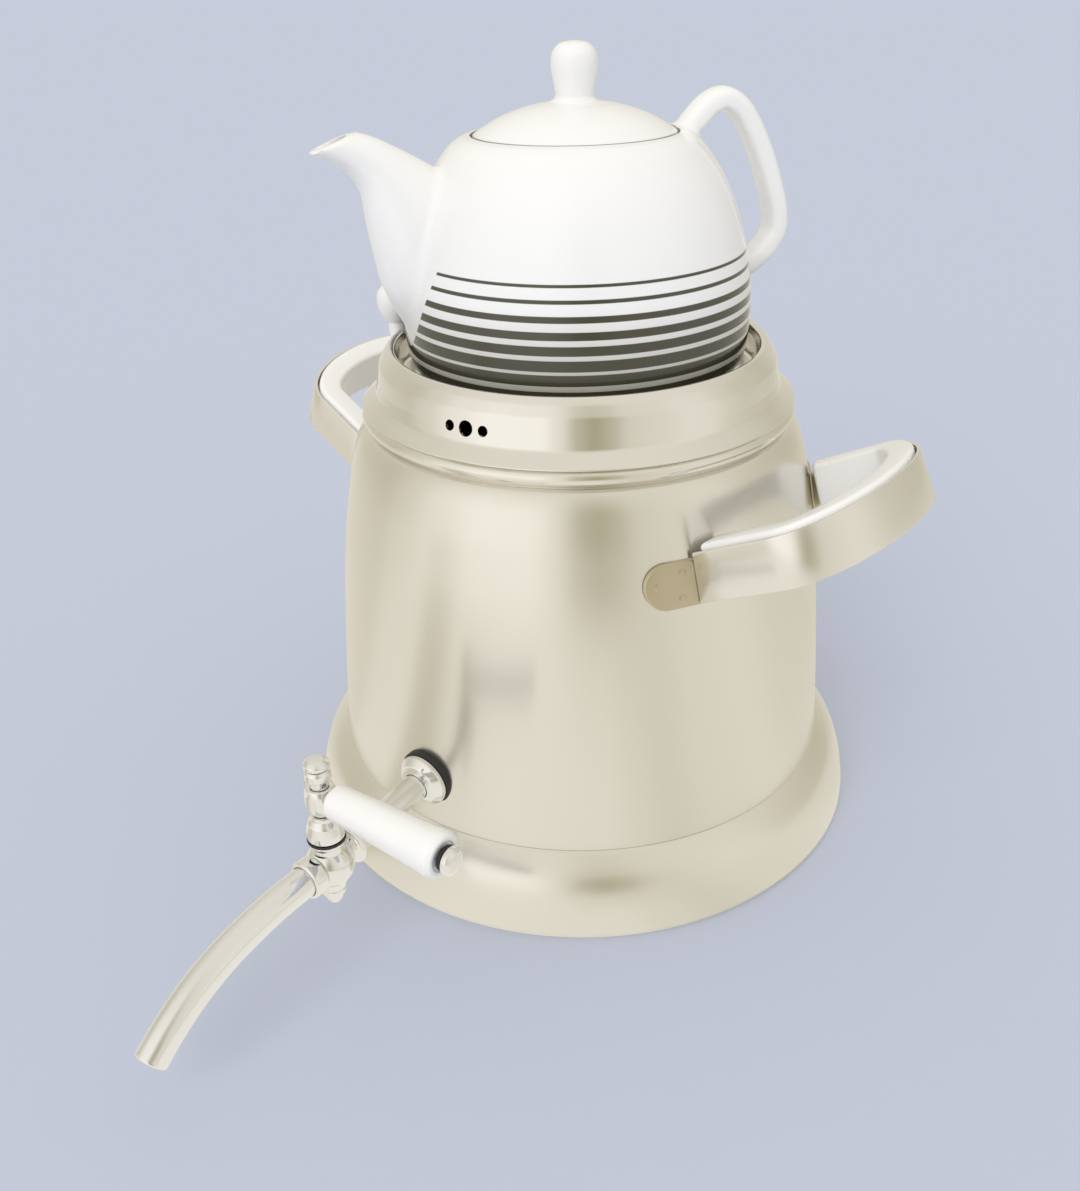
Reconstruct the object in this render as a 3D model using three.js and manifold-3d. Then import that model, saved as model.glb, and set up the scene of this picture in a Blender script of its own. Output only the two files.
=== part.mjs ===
// Stovetop tap kettle with a teapot on its stand ring.
// Millimetres, +Z up. Origin: centre of the base, on the surface that the kettle stands on.
// The tap points along -Y and the two side handles lie along +X and -X.
import * as THREE from 'three';
import { mergeVertices } from 'three/addons/utils/BufferGeometryUtils.js';
import Module from 'manifold-3d';

const wasm = await Module();
wasm.setup();

// Fits and facets that all pieces share
const fit = { gap: 0.3, overrun: 3 };
const facets = { large: 36, medium: 20, small: 16, fine: 10, hexagon: 6 };
// A corner of an offset path moves out no more than the offset divided by this share
const leastMitreShare = 0.5;

// Kettle: a drawn body on a flared base pan
const kettle = {
  wall: 1,
  baseRadius: 121.3,
  footHeight: 5,
  footWidth: 9,
  panRecess: 3.3,
  seamRadius: 107,
  seamHeight: 33,
  lap: 6,
  neckRadius: 84.5,
  neckBelowRim: 7,
  beadRadius: 87,
  beadRoll: 3.2,
  rimHeight: 182,
};
const neckHeight = kettle.rimHeight - kettle.neckBelowRim;
// Radius lost and height gained from the seam to the neck
const kettleWallShares = [
  [0, 0], [0.111, 0.261], [0.267, 0.542], [0.378, 0.683], [0.507, 0.796], [0.64, 0.894],
  [0.787, 0.961], [0.924, 0.993], [1, 1],
];
// Radius gained and height lost from the seam down the flare to the foot
const flareShares = [[0, 0], [0.14, 0.054], [0.594, 0.286], [0.874, 0.643], [1, 1]];
const heatDisc = { thickness: 3, edge: 1 };

// Side handles: a steel strap round a heat-proof grip, on two brackets
const handle = {
  tilt: THREE.MathUtils.degToRad(26),
  mountBelowRim: 35,
  reach: 51,
  bend: 28,
  halfWidth: 51,
  endHalfWidth: 48.9,
  standoff: 3.4,
  strapHeight: 19,
  strapThickness: 1.2,
  gripThickness: 10,
  gripProud: 2,
  gripInset: 4,
  gripRounding: 1.4,
};
const mountHeight = kettle.rimHeight - handle.mountBelowRim;
// Each handle's turn about the kettle, and the side of it that lies toward the tap
const handleSides = [
  { name: 'right', turn: 0, frontSide: -1 },
  { name: 'left', turn: THREE.MathUtils.degToRad(170), frontSide: 1 },
];
const bracket = {
  thickness: 1.5,
  plateWidth: 24,
  plateHeight: 17,
  plateBelowMount: 6.5,
  blankDepth: 40,
  legHeight: 12,
  legLength: 20,
  legInset: 3.2,
  slotPlay: 0.4,
};
const gripScrew = { radius: 1.9, headRadius: 3.4, headHeight: 2.2, recess: 4, play: 0.4 };

// Tap: a drooping shank with a ball valve body, its lever and its curved spout
const tap = {
  wallHeight: 53.2,
  droop: THREE.MathUtils.degToRad(5.3),
  valveOut: 53.8,
  ballRadius: 9,
  shankRadius: 5.35,
  threadLength: 16,
  waterwayRadius: 3,
  collarRadius: 7.7,
  collarThickness: 2.6,
  neckRadius: 6.6,
  neckHeight: 11.2,
  gasketRadius: 11.8,
  gasketThickness: 2,
  flangeRadius: 11,
  flangeThickness: 4.6,
  flangeRoundShare: 0.85,
  innerGasketThickness: 2,
  nutRadius: 11,
  nutThickness: 5,
};
const valve = {
  plugRadius: 4.3,
  plugTaper: 0.7,
  plugBelow: 11,
  stemRadius: 3.3,
  sealRadius: 7.1,
  sealThickness: 1,
  bonnetRadius: 6.9,
  bonnetHeight: 10.2,
  bonnetTopRadius: 4.6,
  bonnetShoulderShare: 0.8,
  bottomRingRadius: 4.3,
  bottomRingThickness: 2.6,
  bottomCapRadius: 3.1,
  bottomCapHeight: 4.6,
};
const lever = {
  hubRadius: 5.7,
  hubHeight: 11,
  hubAboveBall: 24.2,
  armRise: 7.1,
  hubFootShare: 0.82,
  hubTopShare: 0.86,
  rodRadius: 2.6,
  gripStart: 6.6,
  gripLength: 50.9,
  gripRootRadius: 6.5,
  gripEndRadius: 8.3,
  gripNeckShare: 0.8,
  washerRadius: 5.4,
  washerThickness: 1.4,
  washerGrooveShare: 0.85,
  endNutRadius: 5,
  endNutThickness: 3.6,
  endNutFaceShare: 0.8,
  collarRadius: 4.7,
  collarThickness: 5,
  collarNeckShare: 0.8,
  stemAboveHub: 2.6,
  finialRadius: 4.7,
  finialHeight: 4,
};
// Radius and height of the finial's rounded top
const finialShares = [[1, 0.5], [0.7, 0.85], [0, 1]];
const spout = {
  tubeRadius: 5.85,
  bore: 4.6,
  collarRadius: 7.3,
  collarLength: 6,
  socket: 4,
  reach: 84.5,
  drop: 23.4,
  steps: 12,
  sides: 12,
};
// Run out from the ball and drop below it along the spout's middle line
const spoutShares = [
  [0.16, 0], [0.28, 0.01], [0.43, 0.07], [0.6, 0.2], [0.76, 0.42], [0.9, 0.72], [1, 1],
];

// Stand ring: carries the teapot over the open kettle
const stand = {
  sheet: 1,
  skirtRadius: 80,
  skirtDepth: 14,
  flangeRadius: 86.8,
  flangeHeight: 4.4,
  wallFootRadius: 82,
  wallFootRise: 5.4,
  wallRadius: 80.6,
  crestRadius: 76.2,
  crestRise: 23.4,
  shoulderRise: 18.4,
  wellRadius: 71.5,
  wellRise: 9.1,
  ledgeRadius: 60,
};
const ventHoles = {
  rise: 10.4, spacing: 7, turn: THREE.MathUtils.degToRad(5.7), radii: [1.95, 2.85, 1.95],
};
const seatPlate = {
  thickness: 1, play: 0.7, holeRadius: 3, holeCircle: 42, holes: 8, centreRadius: 9,
};
const standKnob = {
  turn: THREE.MathUtils.degToRad(-68),
  radius: 8,
  height: 17.6,
  screwRadius: 1.2,
  screwHeadRadius: 1.9,
  screwHeadDrop: 2.2,
  screwHeadHeight: 1.8,
  screwGrip: 8,
};
// Radius and height of the stand's knob
const standKnobShares = [
  [0.49, 0], [0.49, 0.1], [0.72, 0.22], [0.92, 0.4], [1, 0.6], [0.93, 0.8], [0.66, 0.94], [0, 1],
];

// Teapot: one porcelain piece with its spout and handle, and its lid
const teapot = {
  wall: 3.6,
  turn: THREE.MathUtils.degToRad(233.2),
  footRadius: 58,
  radius: 67.3,
  height: 87.6,
  mouthRadius: 38.7,
  ledgeDepth: 3,
  ledgeRadius: 33,
  ledgeThickness: 3,
  floor: 4.5,
  strainerRadius: 1.5,
  strainerSpread: 7,
  strainerHeightShare: 0.52,
};
// Outer radius and height of the pot
const potShares = [
  [0.862, 0], [0.93, 0.026], [0.975, 0.075], [1, 0.19], [1, 0.33], [0.978, 0.466], [0.936, 0.604],
  [0.877, 0.735], [0.81, 0.838], [0.743, 0.912], [0.684, 0.963], [0.624, 0.991],
];
// Spout rings: outward place and height of the upper edge, the same of the lower edge, and half width.
// They are shares of the spout's reach, the pot's height and the spout's root width.
const potSpout = { reach: 97.8, rootHalfWidth: 17, wall: 3.3, lip: 2.6, sides: 16 };
const potSpoutShares = [
  [0.42, 0.74, 0.62, 0.14, 0.9],
  [0.46, 0.81, 0.675, 0.217, 1],
  [0.5, 0.862, 0.726, 0.32, 0.95],
  [0.542, 0.898, 0.772, 0.434, 0.88],
  [0.583, 0.926, 0.798, 0.576, 0.78],
  [0.634, 0.958, 0.814, 0.707, 0.665],
  [0.69, 0.992, 0.828, 0.827, 0.55],
  [0.746, 1.023, 0.869, 0.902, 0.465],
  [0.792, 1.042, 0.925, 0.945, 0.41],
  [0.826, 1.052, 0.997, 0.983, 0.365],
];
const potHandle = { reach: 87.4, thickness: 8.4, width: 12.6, sides: 8, steps: 16 };
// Outward place and height of the handle's middle line, as shares of its reach and the pot's height
const potHandleShares = [
  [0.46, 0.93], [0.53, 1.01], [0.6, 1.075], [0.665, 1.098], [0.735, 1.065], [0.805, 0.975], [0.865, 0.86],
  [0.915, 0.735], [0.95, 0.62], [0.952, 0.53], [0.905, 0.45], [0.82, 0.385], [0.7, 0.33],
];
const lid = {
  edge: 2.4,
  wall: 3,
  crownRise: 11.2,
  knobRadius: 8.4,
  knobHeight: 19.5,
  plugRadius: 31.8,
  plugDepth: 8,
  plugWall: 3,
  ventRadius: 1.6,
  ventPlace: 24,
};
// Radius and rise of the lid's dome from its edge to the knob, then of the knob
const lidDomeShares = [[1, 0], [0.78, 0.43], [0.47, 0.79], [0.235, 0.94], [0.186, 1.02]];
const lidKnobShares = [
  [0.83, 0.08], [0.93, 0.36], [1, 0.6], [0.94, 0.79], [0.655, 0.93], [0.24, 0.985], [0, 1],
];

// Finishes
const finishes = {
  satinSteel: { color: '#cfc9b8', roughness: 0.32, metalness: 1 },
  brightSteel: { color: '#d9d6cf', roughness: 0.15, metalness: 1 },
  chrome: { color: '#dcdcdc', roughness: 0.06, metalness: 1 },
  bakelite: { color: '#f4f3ee', roughness: 0.28, metalness: 0 },
  porcelain: { color: '#f1f1ec', roughness: 0.1, metalness: 0 },
  rubber: { color: '#1d1c1b', roughness: 0.7, metalness: 0 },
};

const group = new THREE.Group();

// A closed geometry as a manifold solid that faces outward
function solid(geometry) {
  const bare = geometry.clone();
  bare.deleteAttribute('normal');
  bare.deleteAttribute('uv');
  const merged = mergeVertices(bare);
  const place = merged.attributes.position.array;
  const faces = [];
  for (let i = 0; i < merged.index.count; i += 3) {
    const [a, b, c] = [0, 1, 2].map((k) => merged.index.array[i + k]);
    if (a !== b && b !== c && c !== a) faces.push(a, b, c);
  }
  const corner = (k) => new THREE.Vector3().fromArray(place, faces[k] * 3);
  let volume = 0;
  for (let i = 0; i < faces.length; i += 3) volume += corner(i).dot(corner(i + 1).cross(corner(i + 2)));
  if (volume < 0) faces.reverse();
  return new wasm.Manifold(new wasm.Mesh({
    numProp: 3, vertProperties: Float32Array.from(place), triVerts: Uint32Array.from(faces),
  }));
}

// A named mesh from a manifold solid
function add(name, body, finish) {
  const mesh = body.getMesh();
  const geometry = new THREE.BufferGeometry();
  geometry.setAttribute('position', new THREE.BufferAttribute(Float32Array.from(mesh.vertProperties), 3));
  geometry.setIndex(new THREE.BufferAttribute(Uint32Array.from(mesh.triVerts), 1));
  geometry.computeVertexNormals();
  const piece = new THREE.Mesh(geometry, new THREE.MeshStandardMaterial(finishes[finish]));
  piece.name = name;
  group.add(piece);
}

// A solid of revolution about Z from [radius, height] points
function turned(points, sides = facets.large) {
  const profile = points.map(([radius, height]) => new THREE.Vector2(Math.max(radius, 0), height));
  const geometry = new THREE.LatheGeometry(profile, sides);
  geometry.rotateX(Math.PI / 2);
  return solid(geometry);
}
const closed = (points) => [...points, points[0]];

// The path moved sideways by a distance: to the right of its direction where the distance is positive
function offset(points, distance) {
  return points.map((point, i) => {
    const before = points[Math.max(i - 1, 0)];
    const after = points[Math.min(i + 1, points.length - 1)];
    const inward = new THREE.Vector2(point[0] - before[0], point[1] - before[1]).normalize();
    const outward = new THREE.Vector2(after[0] - point[0], after[1] - point[1]).normalize();
    const way = inward.clone().add(outward).normalize();
    const stretch = 1 / Math.max(Math.cos(way.angleTo(i === 0 ? outward : inward)), leastMitreShare);
    return [point[0] + way.y * distance * stretch, point[1] - way.x * distance * stretch];
  });
}
const sheetOf = (points, thickness) => closed([...points, ...offset(points, thickness).reverse()]);

// A straight cylinder along Z from one height to another
function rod(radius, from, to, sides = facets.small) {
  return turned([[0, from], [radius, from], [radius, to], [0, to]], sides);
}

// A tube of rings, each ring a list of points, closed by its two ends
function loft(rings) {
  const sides = rings[0].length;
  const place = rings.flat().flatMap((point) => point.toArray());
  const faces = [];
  for (let ring = 0; ring + 1 < rings.length; ring += 1) {
    for (let side = 0; side < sides; side += 1) {
      const a = ring * sides + side;
      const b = ring * sides + (side + 1) % sides;
      faces.push(a, b, b + sides, a, b + sides, a + sides);
    }
  }
  const last = (rings.length - 1) * sides;
  for (let side = 1; side + 1 < sides; side += 1) {
    faces.push(0, side + 1, side, last, last + side, last + side + 1);
  }
  const geometry = new THREE.BufferGeometry();
  geometry.setAttribute('position', new THREE.Float32BufferAttribute(place, 3));
  geometry.setIndex(faces);
  return solid(geometry);
}

// An outline in X and Y raised along Z
function raised(points, from, to, bevel = 0) {
  const shape = new THREE.Shape(points.map(([x, y]) => new THREE.Vector2(x, y)));
  const geometry = new THREE.ExtrudeGeometry(shape, {
    depth: to - from - 2 * bevel, steps: 1, bevelEnabled: bevel > 0, bevelThickness: bevel,
    bevelSize: bevel, bevelOffset: -bevel, bevelSegments: 1,
  });
  geometry.translate(0, 0, from + bevel);
  return solid(geometry);
}

const moved = (body, matrix) => body.transform(matrix.elements);
const turnZ = (angle) => new THREE.Matrix4().makeRotationZ(angle);

// Kettle body and base pan
const wallPath = kettleWallShares.map(([inwardShare, heightShare]) => [
  THREE.MathUtils.lerp(kettle.seamRadius, kettle.neckRadius, inwardShare),
  THREE.MathUtils.lerp(kettle.seamHeight, neckHeight, heightShare),
]);
function wallRadius(height) {
  const last = wallPath.length - 1;
  const next = wallPath.findIndex((point, i) => i > 0 && (i === last || point[1] >= height));
  const [low, high] = [wallPath[next - 1], wallPath[next]];
  return THREE.MathUtils.mapLinear(height, low[1], high[1], low[0], high[0]);
}
// The closed space within the kettle's wall, grown outward or shrunk
function kettleSpace(grow) {
  const path = offset([[kettle.seamRadius, 0], ...wallPath], grow);
  return turned([[0, 0], ...path, [0, path.at(-1)[1]]]);
}

const beadMiddle = [kettle.beadRadius - kettle.beadRoll, kettle.rimHeight - kettle.beadRoll];
const bead = closed(Array.from({ length: facets.fine }, (_, i) => {
  const angle = (i / facets.fine) * 2 * Math.PI;
  return [
    beadMiddle[0] + kettle.beadRoll * Math.cos(angle),
    beadMiddle[1] + kettle.beadRoll * Math.sin(angle),
  ];
}));
const bodyPath = wallPath.map(([radius, height], i) => [radius, i === 0 ? height + fit.gap / 2 : height]);
bodyPath.push([beadMiddle[0] + kettle.wall, beadMiddle[1]]);
const tapFrame = new THREE.Matrix4().makeTranslation(0, -wallRadius(tap.wallHeight), tap.wallHeight)
  .multiply(new THREE.Matrix4().makeRotationX(Math.PI / 2 + tap.droop));
const tapHole = moved(rod(tap.shankRadius + fit.gap, -tap.threadLength, tap.gasketThickness), tapFrame);
const kettleShell = turned(sheetOf(bodyPath, -kettle.wall)).add(turned(bead));
add('kettle_body', kettleShell.subtract(tapHole), 'satinSteel');

const lapRadius = wallRadius(kettle.seamHeight + kettle.lap) - kettle.wall - fit.gap;
const flarePath = flareShares.map(([outShare, downShare]) => [
  THREE.MathUtils.lerp(kettle.seamRadius, kettle.baseRadius, outShare),
  THREE.MathUtils.lerp(kettle.seamHeight - fit.gap / 2, kettle.footHeight, downShare),
]);
const footInner = kettle.baseRadius - kettle.footWidth;
flarePath.push(
  [kettle.baseRadius - kettle.wall / 2, kettle.footHeight / 4],
  [kettle.baseRadius - 2 * kettle.wall, 0],
  [footInner, 0],
  [footInner - kettle.wall, kettle.panRecess],
);
const panInside = offset(flarePath, kettle.wall);
const panProfile = [
  [0, kettle.panRecess], ...flarePath.slice().reverse(),
  [lapRadius, kettle.seamHeight - fit.gap / 2], [lapRadius, kettle.seamHeight + kettle.lap],
  [lapRadius - kettle.wall, kettle.seamHeight + kettle.lap],
  [lapRadius - kettle.wall, kettle.seamHeight - kettle.wall],
  ...panInside.slice(1), [0, kettle.panRecess + kettle.wall],
];
add('base_pan', turned(panProfile), 'satinSteel');

const discRadius = footInner - kettle.wall - fit.gap;
add('heat_disc', turned([
  [0, 0], [discRadius - heatDisc.edge, 0], [discRadius, heatDisc.edge],
  [discRadius, heatDisc.thickness], [0, heatDisc.thickness],
]), 'brightSteel');

// Side handles, each in its own frame: X out along the arm, Y across, Z square to the arm
const strapHalf = handle.strapHeight / 2;
const mountRadius = wallRadius(mountHeight);
function handleFrame(turn) {
  return turnZ(turn)
    .multiply(new THREE.Matrix4().makeTranslation(mountRadius, 0, mountHeight))
    .multiply(new THREE.Matrix4().makeRotationY(-handle.tilt));
}
const strapStart = Math.sqrt((mountRadius + handle.standoff) ** 2 - handle.endHalfWidth ** 2) - mountRadius;
const strapPath = [[strapStart / Math.cos(handle.tilt), -handle.endHalfWidth]];
const bendStart = handle.reach - handle.bend;
for (let i = 0; i <= facets.small; i += 1) {
  const angle = (i / facets.small) * Math.PI;
  strapPath.push([bendStart + handle.bend * Math.sin(angle), -handle.halfWidth * Math.cos(angle)]);
}
strapPath.push([strapPath[0][0], handle.endHalfWidth]);
const gripOuter = offset(strapPath, -(handle.strapThickness + fit.gap));
const insetShare = handle.gripInset / (gripOuter[1][0] - gripOuter[0][0]);
gripOuter[0] = [0, 1].map(
  (axis) => THREE.MathUtils.lerp(gripOuter[0][axis], gripOuter[1][axis], insetShare),
);
gripOuter[gripOuter.length - 1] = [gripOuter[0][0], -gripOuter[0][1]];
const gripInner = offset(gripOuter, -handle.gripThickness);
const gripHalf = strapHalf + handle.gripProud;
const legMiddle = Math.abs(gripOuter[0][1]) - bracket.legInset;
const legEnd = gripOuter[0][0] + bracket.legLength - handle.gripInset;
const screwPlace = (gripOuter[0][0] + legEnd) / 2;
const kettleOutside = kettleSpace(fit.gap);
const handleClearance = kettleSpace(handle.standoff);
const kettleBand = kettleSpace(fit.gap + bracket.thickness).subtract(kettleOutside);

function legBox(side, play) {
  const from = side * legMiddle - (bracket.thickness / 2 + play);
  const to = side * legMiddle + (bracket.thickness / 2 + play);
  const start = play > 0 ? strapPath[0][0] : strapPath[0][0] - handle.endHalfWidth / 2;
  const half = bracket.legHeight / 2 + play;
  return raised([[start, from], [legEnd + play, from], [legEnd + play, to], [start, to]], -half, half);
}
// A cylinder across the handle, from one Y to another
function acrossRod(radius, from, to) {
  const along = new THREE.Matrix4().makeTranslation(screwPlace, 0, 0)
    .multiply(new THREE.Matrix4().makeRotationX(-Math.PI / 2));
  return moved(rod(radius, Math.min(from, to), Math.max(from, to), facets.fine), along);
}

for (const { name, turn, frontSide } of handleSides) {
  const frame = handleFrame(turn);
  const strapInside = offset(strapPath, -handle.strapThickness);
  const strap = raised([...strapPath, ...strapInside.reverse()], -strapHalf, strapHalf);
  add(`handle_strap_${name}`, moved(strap, frame).subtract(handleClearance), 'brightSteel');

  const gripOutline = [...gripOuter, ...gripInner.slice().reverse()];
  let grip = raised(gripOutline, -gripHalf, gripHalf, handle.gripRounding);
  for (const [end, side] of [['front', frontSide], ['rear', -frontSide]]) {
    const innerFace = legMiddle + bracket.legInset - handle.gripThickness;
    const headSeat = innerFace + gripScrew.recess;
    const cutStart = innerFace - fit.overrun;
    const tip = legMiddle + bracket.legInset - fit.gap;
    grip = grip.subtract(legBox(side, bracket.slotPlay))
      .subtract(acrossRod(gripScrew.headRadius + gripScrew.play, side * cutStart, side * headSeat))
      .subtract(acrossRod(gripScrew.radius + fit.gap, side * cutStart, side * tip));
    const headStart = headSeat - gripScrew.headHeight;
    const headEnd = headSeat - fit.gap;
    const screw = acrossRod(gripScrew.headRadius, side * headStart, side * headEnd)
      .add(acrossRod(gripScrew.radius, side * (headEnd - fit.gap), side * (tip - fit.gap)));

    // The bracket's plate follows the kettle's wall and its leg stands out into the grip
    const legAngle = Math.asin((legMiddle + bracket.thickness / 2) / mountRadius);
    const plateRise = mountHeight - bracket.plateBelowMount;
    const half = bracket.plateHeight / 2;
    const plate = Array.from({ length: facets.fine + 1 }, (_, i) => {
      const angle = (i / facets.fine - 0.5) * Math.PI;
      return [bracket.plateWidth - half + half * Math.cos(angle), half * Math.sin(angle)];
    });
    const outline = raised([[0, half], [0, -half], ...plate], 0, bracket.blankDepth);
    const blankStart = wallRadius(plateRise) - bracket.blankDepth / 2;
    const onWall = turnZ(turn + side * legAngle)
      .multiply(new THREE.Matrix4().makeTranslation(blankStart, 0, plateRise))
      .multiply(new THREE.Matrix4().makeBasis(
        new THREE.Vector3(0, side, 0), new THREE.Vector3(0, 0, side), new THREE.Vector3(1, 0, 0),
      ));
    const leg = moved(legBox(side, 0), frame).subtract(kettleOutside)
      .subtract(moved(acrossRod(gripScrew.radius + fit.gap, side * innerFace, side * tip), frame));
    const plateOnWall = moved(outline, onWall).intersect(kettleBand);
    add(`handle_bracket_${name}_${end}`, plateOnWall.add(leg), 'brightSteel');
    add(`grip_screw_${name}_${end}`, moved(screw, frame), 'brightSteel');
  }
  add(`handle_grip_${name}`, moved(grip, frame).subtract(handleClearance), 'bakelite');
}

// Tap: the shank's frame has Z out along the shank from the kettle's wall
const ballOut = tap.valveOut / Math.cos(tap.droop);
const ballPlace = new THREE.Vector3(0, 0, ballOut).applyMatrix4(tapFrame);
const valveFrame = new THREE.Matrix4().makeTranslation(ballPlace.x, ballPlace.y, ballPlace.z);
const upright = (points, sides = facets.small) => moved(turned(points, sides), valveFrame);
const onShank = (points, sides = facets.small) => moved(turned(points, sides), tapFrame);
const ring = (inner, outer, from, to) => closed([[inner, from], [outer, from], [outer, to], [inner, to]]);

const shankBore = tap.shankRadius + fit.gap;
const gasketRing = ring(shankBore, tap.gasketRadius, -tap.gasketThickness, tap.gasketThickness);
add('tap_outer_gasket', onShank(gasketRing, facets.medium).subtract(kettleOutside), 'rubber');
const flangeStart = tap.gasketThickness + fit.gap;
add('tap_flange', onShank(closed([
  [shankBore, flangeStart], [tap.flangeRadius, flangeStart],
  [tap.flangeRadius, flangeStart + tap.flangeThickness / 2],
  [(tap.flangeRadius + tap.shankRadius) / 2, flangeStart + tap.flangeThickness * tap.flangeRoundShare],
  [shankBore, flangeStart + tap.flangeThickness],
]), facets.medium), 'chrome');

const kettleInside = kettleSpace(-kettle.wall - fit.gap);
const nutStart = -(kettle.wall + fit.gap * 2 + tap.innerGasketThickness);
add('tap_inner_gasket', onShank(ring(shankBore, tap.gasketRadius, nutStart, 0), facets.medium)
  .intersect(kettleInside), 'rubber');
const nutSpan = [nutStart - fit.gap - tap.nutThickness, nutStart - fit.gap];
const nutBore = moved(rod(shankBore, nutSpan[0] - fit.overrun, nutSpan[1] + fit.overrun), tapFrame);
const nutBlank = moved(rod(tap.nutRadius, ...nutSpan, facets.hexagon), tapFrame);
add('tap_nut', nutBlank.subtract(nutBore), 'brightSteel');

const neckTop = tap.neckHeight;
const ball = Array.from({ length: facets.fine + 1 }, (_, i) => {
  const angle = (i / facets.fine - 0.5) * Math.PI;
  return [tap.ballRadius * Math.cos(angle), tap.ballRadius * Math.sin(angle)];
});
const shank = onShank([
  [0, -tap.threadLength], [tap.shankRadius, -tap.threadLength],
  [tap.shankRadius, ballOut - tap.ballRadius - tap.collarThickness],
  [tap.collarRadius, ballOut - tap.ballRadius - tap.collarThickness],
  [tap.collarRadius, ballOut - tap.ballRadius], [tap.shankRadius, ballOut - tap.ballRadius],
  [tap.shankRadius, ballOut], [0, ballOut],
]);
const spoutWay = new THREE.Matrix4().makeRotationX(Math.PI / 2);
const spoutFrame = valveFrame.clone().multiply(spoutWay);
const alongSpout = (points, sides = facets.small) => moved(turned(points, sides), spoutFrame);
const socketStart = tap.ballRadius - spout.socket / 2;
const socketEnd = socketStart + spout.collarLength;
const tapBody = upright(ball)
  .add(upright([[0, 0], [tap.neckRadius, 0], [tap.neckRadius, neckTop], [0, neckTop]]))
  .add(shank)
  .add(alongSpout([[0, 0], [spout.collarRadius, 0], [spout.collarRadius, socketStart], [0, socketStart]]));
const plugTop = neckTop;
const plugRadiusAt = (height) => valve.plugRadius
  + valve.plugTaper * (height + valve.plugBelow) / (plugTop + valve.plugBelow);
const plugHoleFoot = plugRadiusAt(-valve.plugBelow) + fit.gap;
const plugHoleTop = plugRadiusAt(plugTop) + fit.gap;
const plugHole = upright([
  [0, -valve.plugBelow - fit.overrun], [plugHoleFoot, -valve.plugBelow - fit.overrun],
  [plugHoleFoot, -valve.plugBelow], [plugHoleTop, plugTop], [plugHoleTop, plugTop + fit.overrun],
  [0, plugTop + fit.overrun],
]);
const shankStart = -tap.threadLength - fit.overrun;
const shankWater = moved(rod(tap.waterwayRadius, shankStart, ballOut, facets.fine), tapFrame);
const spoutWater = moved(rod(tap.waterwayRadius, 0, socketStart + fit.overrun, facets.fine), spoutFrame);
add('tap_body', tapBody.subtract(plugHole).subtract(shankWater).subtract(spoutWater), 'chrome');

// Valve plug, its seal and bonnet, and what holds it below the ball
const hubBottom = lever.hubAboveBall;
const hubTop = hubBottom + lever.hubHeight;
const stemTop = hubTop + lever.stemAboveHub + lever.collarThickness + lever.finialHeight / 2;
const ringTop = -valve.plugBelow - fit.gap;
const ringBottom = ringTop - valve.bottomRingThickness;
const capBottom = ringBottom - valve.bottomCapHeight;
const plugPort = moved(rod(tap.waterwayRadius, -tap.ballRadius, tap.ballRadius, facets.fine),
  valveFrame.clone().multiply(new THREE.Matrix4().makeRotationY(Math.PI / 2)));
const plug = upright([
  [0, -valve.plugBelow + fit.gap], [plugRadiusAt(-valve.plugBelow), -valve.plugBelow + fit.gap],
  [plugRadiusAt(plugTop), plugTop], [valve.stemRadius, plugTop], [valve.stemRadius, stemTop], [0, stemTop],
]).add(upright([
  [0, (ringBottom + capBottom) / 2], [valve.stemRadius / 2, (ringBottom + capBottom) / 2],
  [valve.stemRadius / 2, 0], [0, 0],
], facets.fine));
add('valve_plug', plug.subtract(plugPort), 'brightSteel');
add('valve_seal', upright(ring(plugRadiusAt(plugTop) + fit.gap, valve.sealRadius, neckTop + fit.gap,
  neckTop + fit.gap + valve.sealThickness), facets.medium), 'rubber');
const bonnetStart = neckTop + 2 * fit.gap + valve.sealThickness;
const bonnetShoulder = bonnetStart + valve.bonnetHeight * valve.bonnetShoulderShare;
const stemBore = valve.stemRadius + fit.gap;
add('valve_bonnet', upright(closed([
  [stemBore, bonnetStart], [valve.bonnetRadius, bonnetStart],
  [valve.bonnetRadius, bonnetStart + valve.bonnetHeight / 2],
  [(valve.bonnetRadius * 2 + valve.bonnetTopRadius) / 3, bonnetShoulder],
  [valve.bonnetTopRadius, bonnetStart + valve.bonnetHeight], [stemBore, bonnetStart + valve.bonnetHeight],
])), 'chrome');
const tailBore = valve.stemRadius / 2 + fit.gap;
const tailEnd = (ringBottom + capBottom) / 2;
add('plug_ring', upright(ring(tailBore, valve.bottomRingRadius, ringBottom, ringTop)), 'chrome');
add('plug_cap', upright(closed([
  [tailBore, ringBottom - fit.gap], [valve.bottomCapRadius, ringBottom - fit.gap],
  [valve.bottomCapRadius, tailEnd], [valve.bottomCapRadius / 2, capBottom], [0, capBottom],
  [0, tailEnd - fit.gap], [tailBore, tailEnd - fit.gap],
])), 'chrome');

// Lever: hub and rod, the grip on the rod and the fasteners at both ends
const leverHeight = hubBottom + lever.armRise;
const leverFrame = valveFrame.clone()
  .multiply(new THREE.Matrix4().makeTranslation(0, 0, leverHeight))
  .multiply(new THREE.Matrix4().makeRotationY(Math.PI / 2));
const alongLever = (points, sides = facets.small) => moved(turned(points, sides), leverFrame);
const gripEnd = lever.gripStart + lever.gripLength;
const washerEnd = gripEnd + fit.gap + lever.washerThickness;
const nutEnd = washerEnd + fit.gap + lever.endNutThickness;
const rodEnd = (washerEnd + nutEnd) / 2;
const hubBarrel = upright([
  [0, hubBottom], [lever.hubRadius * lever.hubFootShare, hubBottom], [lever.hubRadius, leverHeight],
  [lever.hubRadius * lever.hubTopShare, hubTop], [0, hubTop],
]);
const hubBore = moved(rod(stemBore, hubBottom - fit.overrun, hubTop + fit.overrun), valveFrame);
const hubRod = moved(rod(lever.rodRadius, 0, rodEnd), leverFrame);
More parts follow.
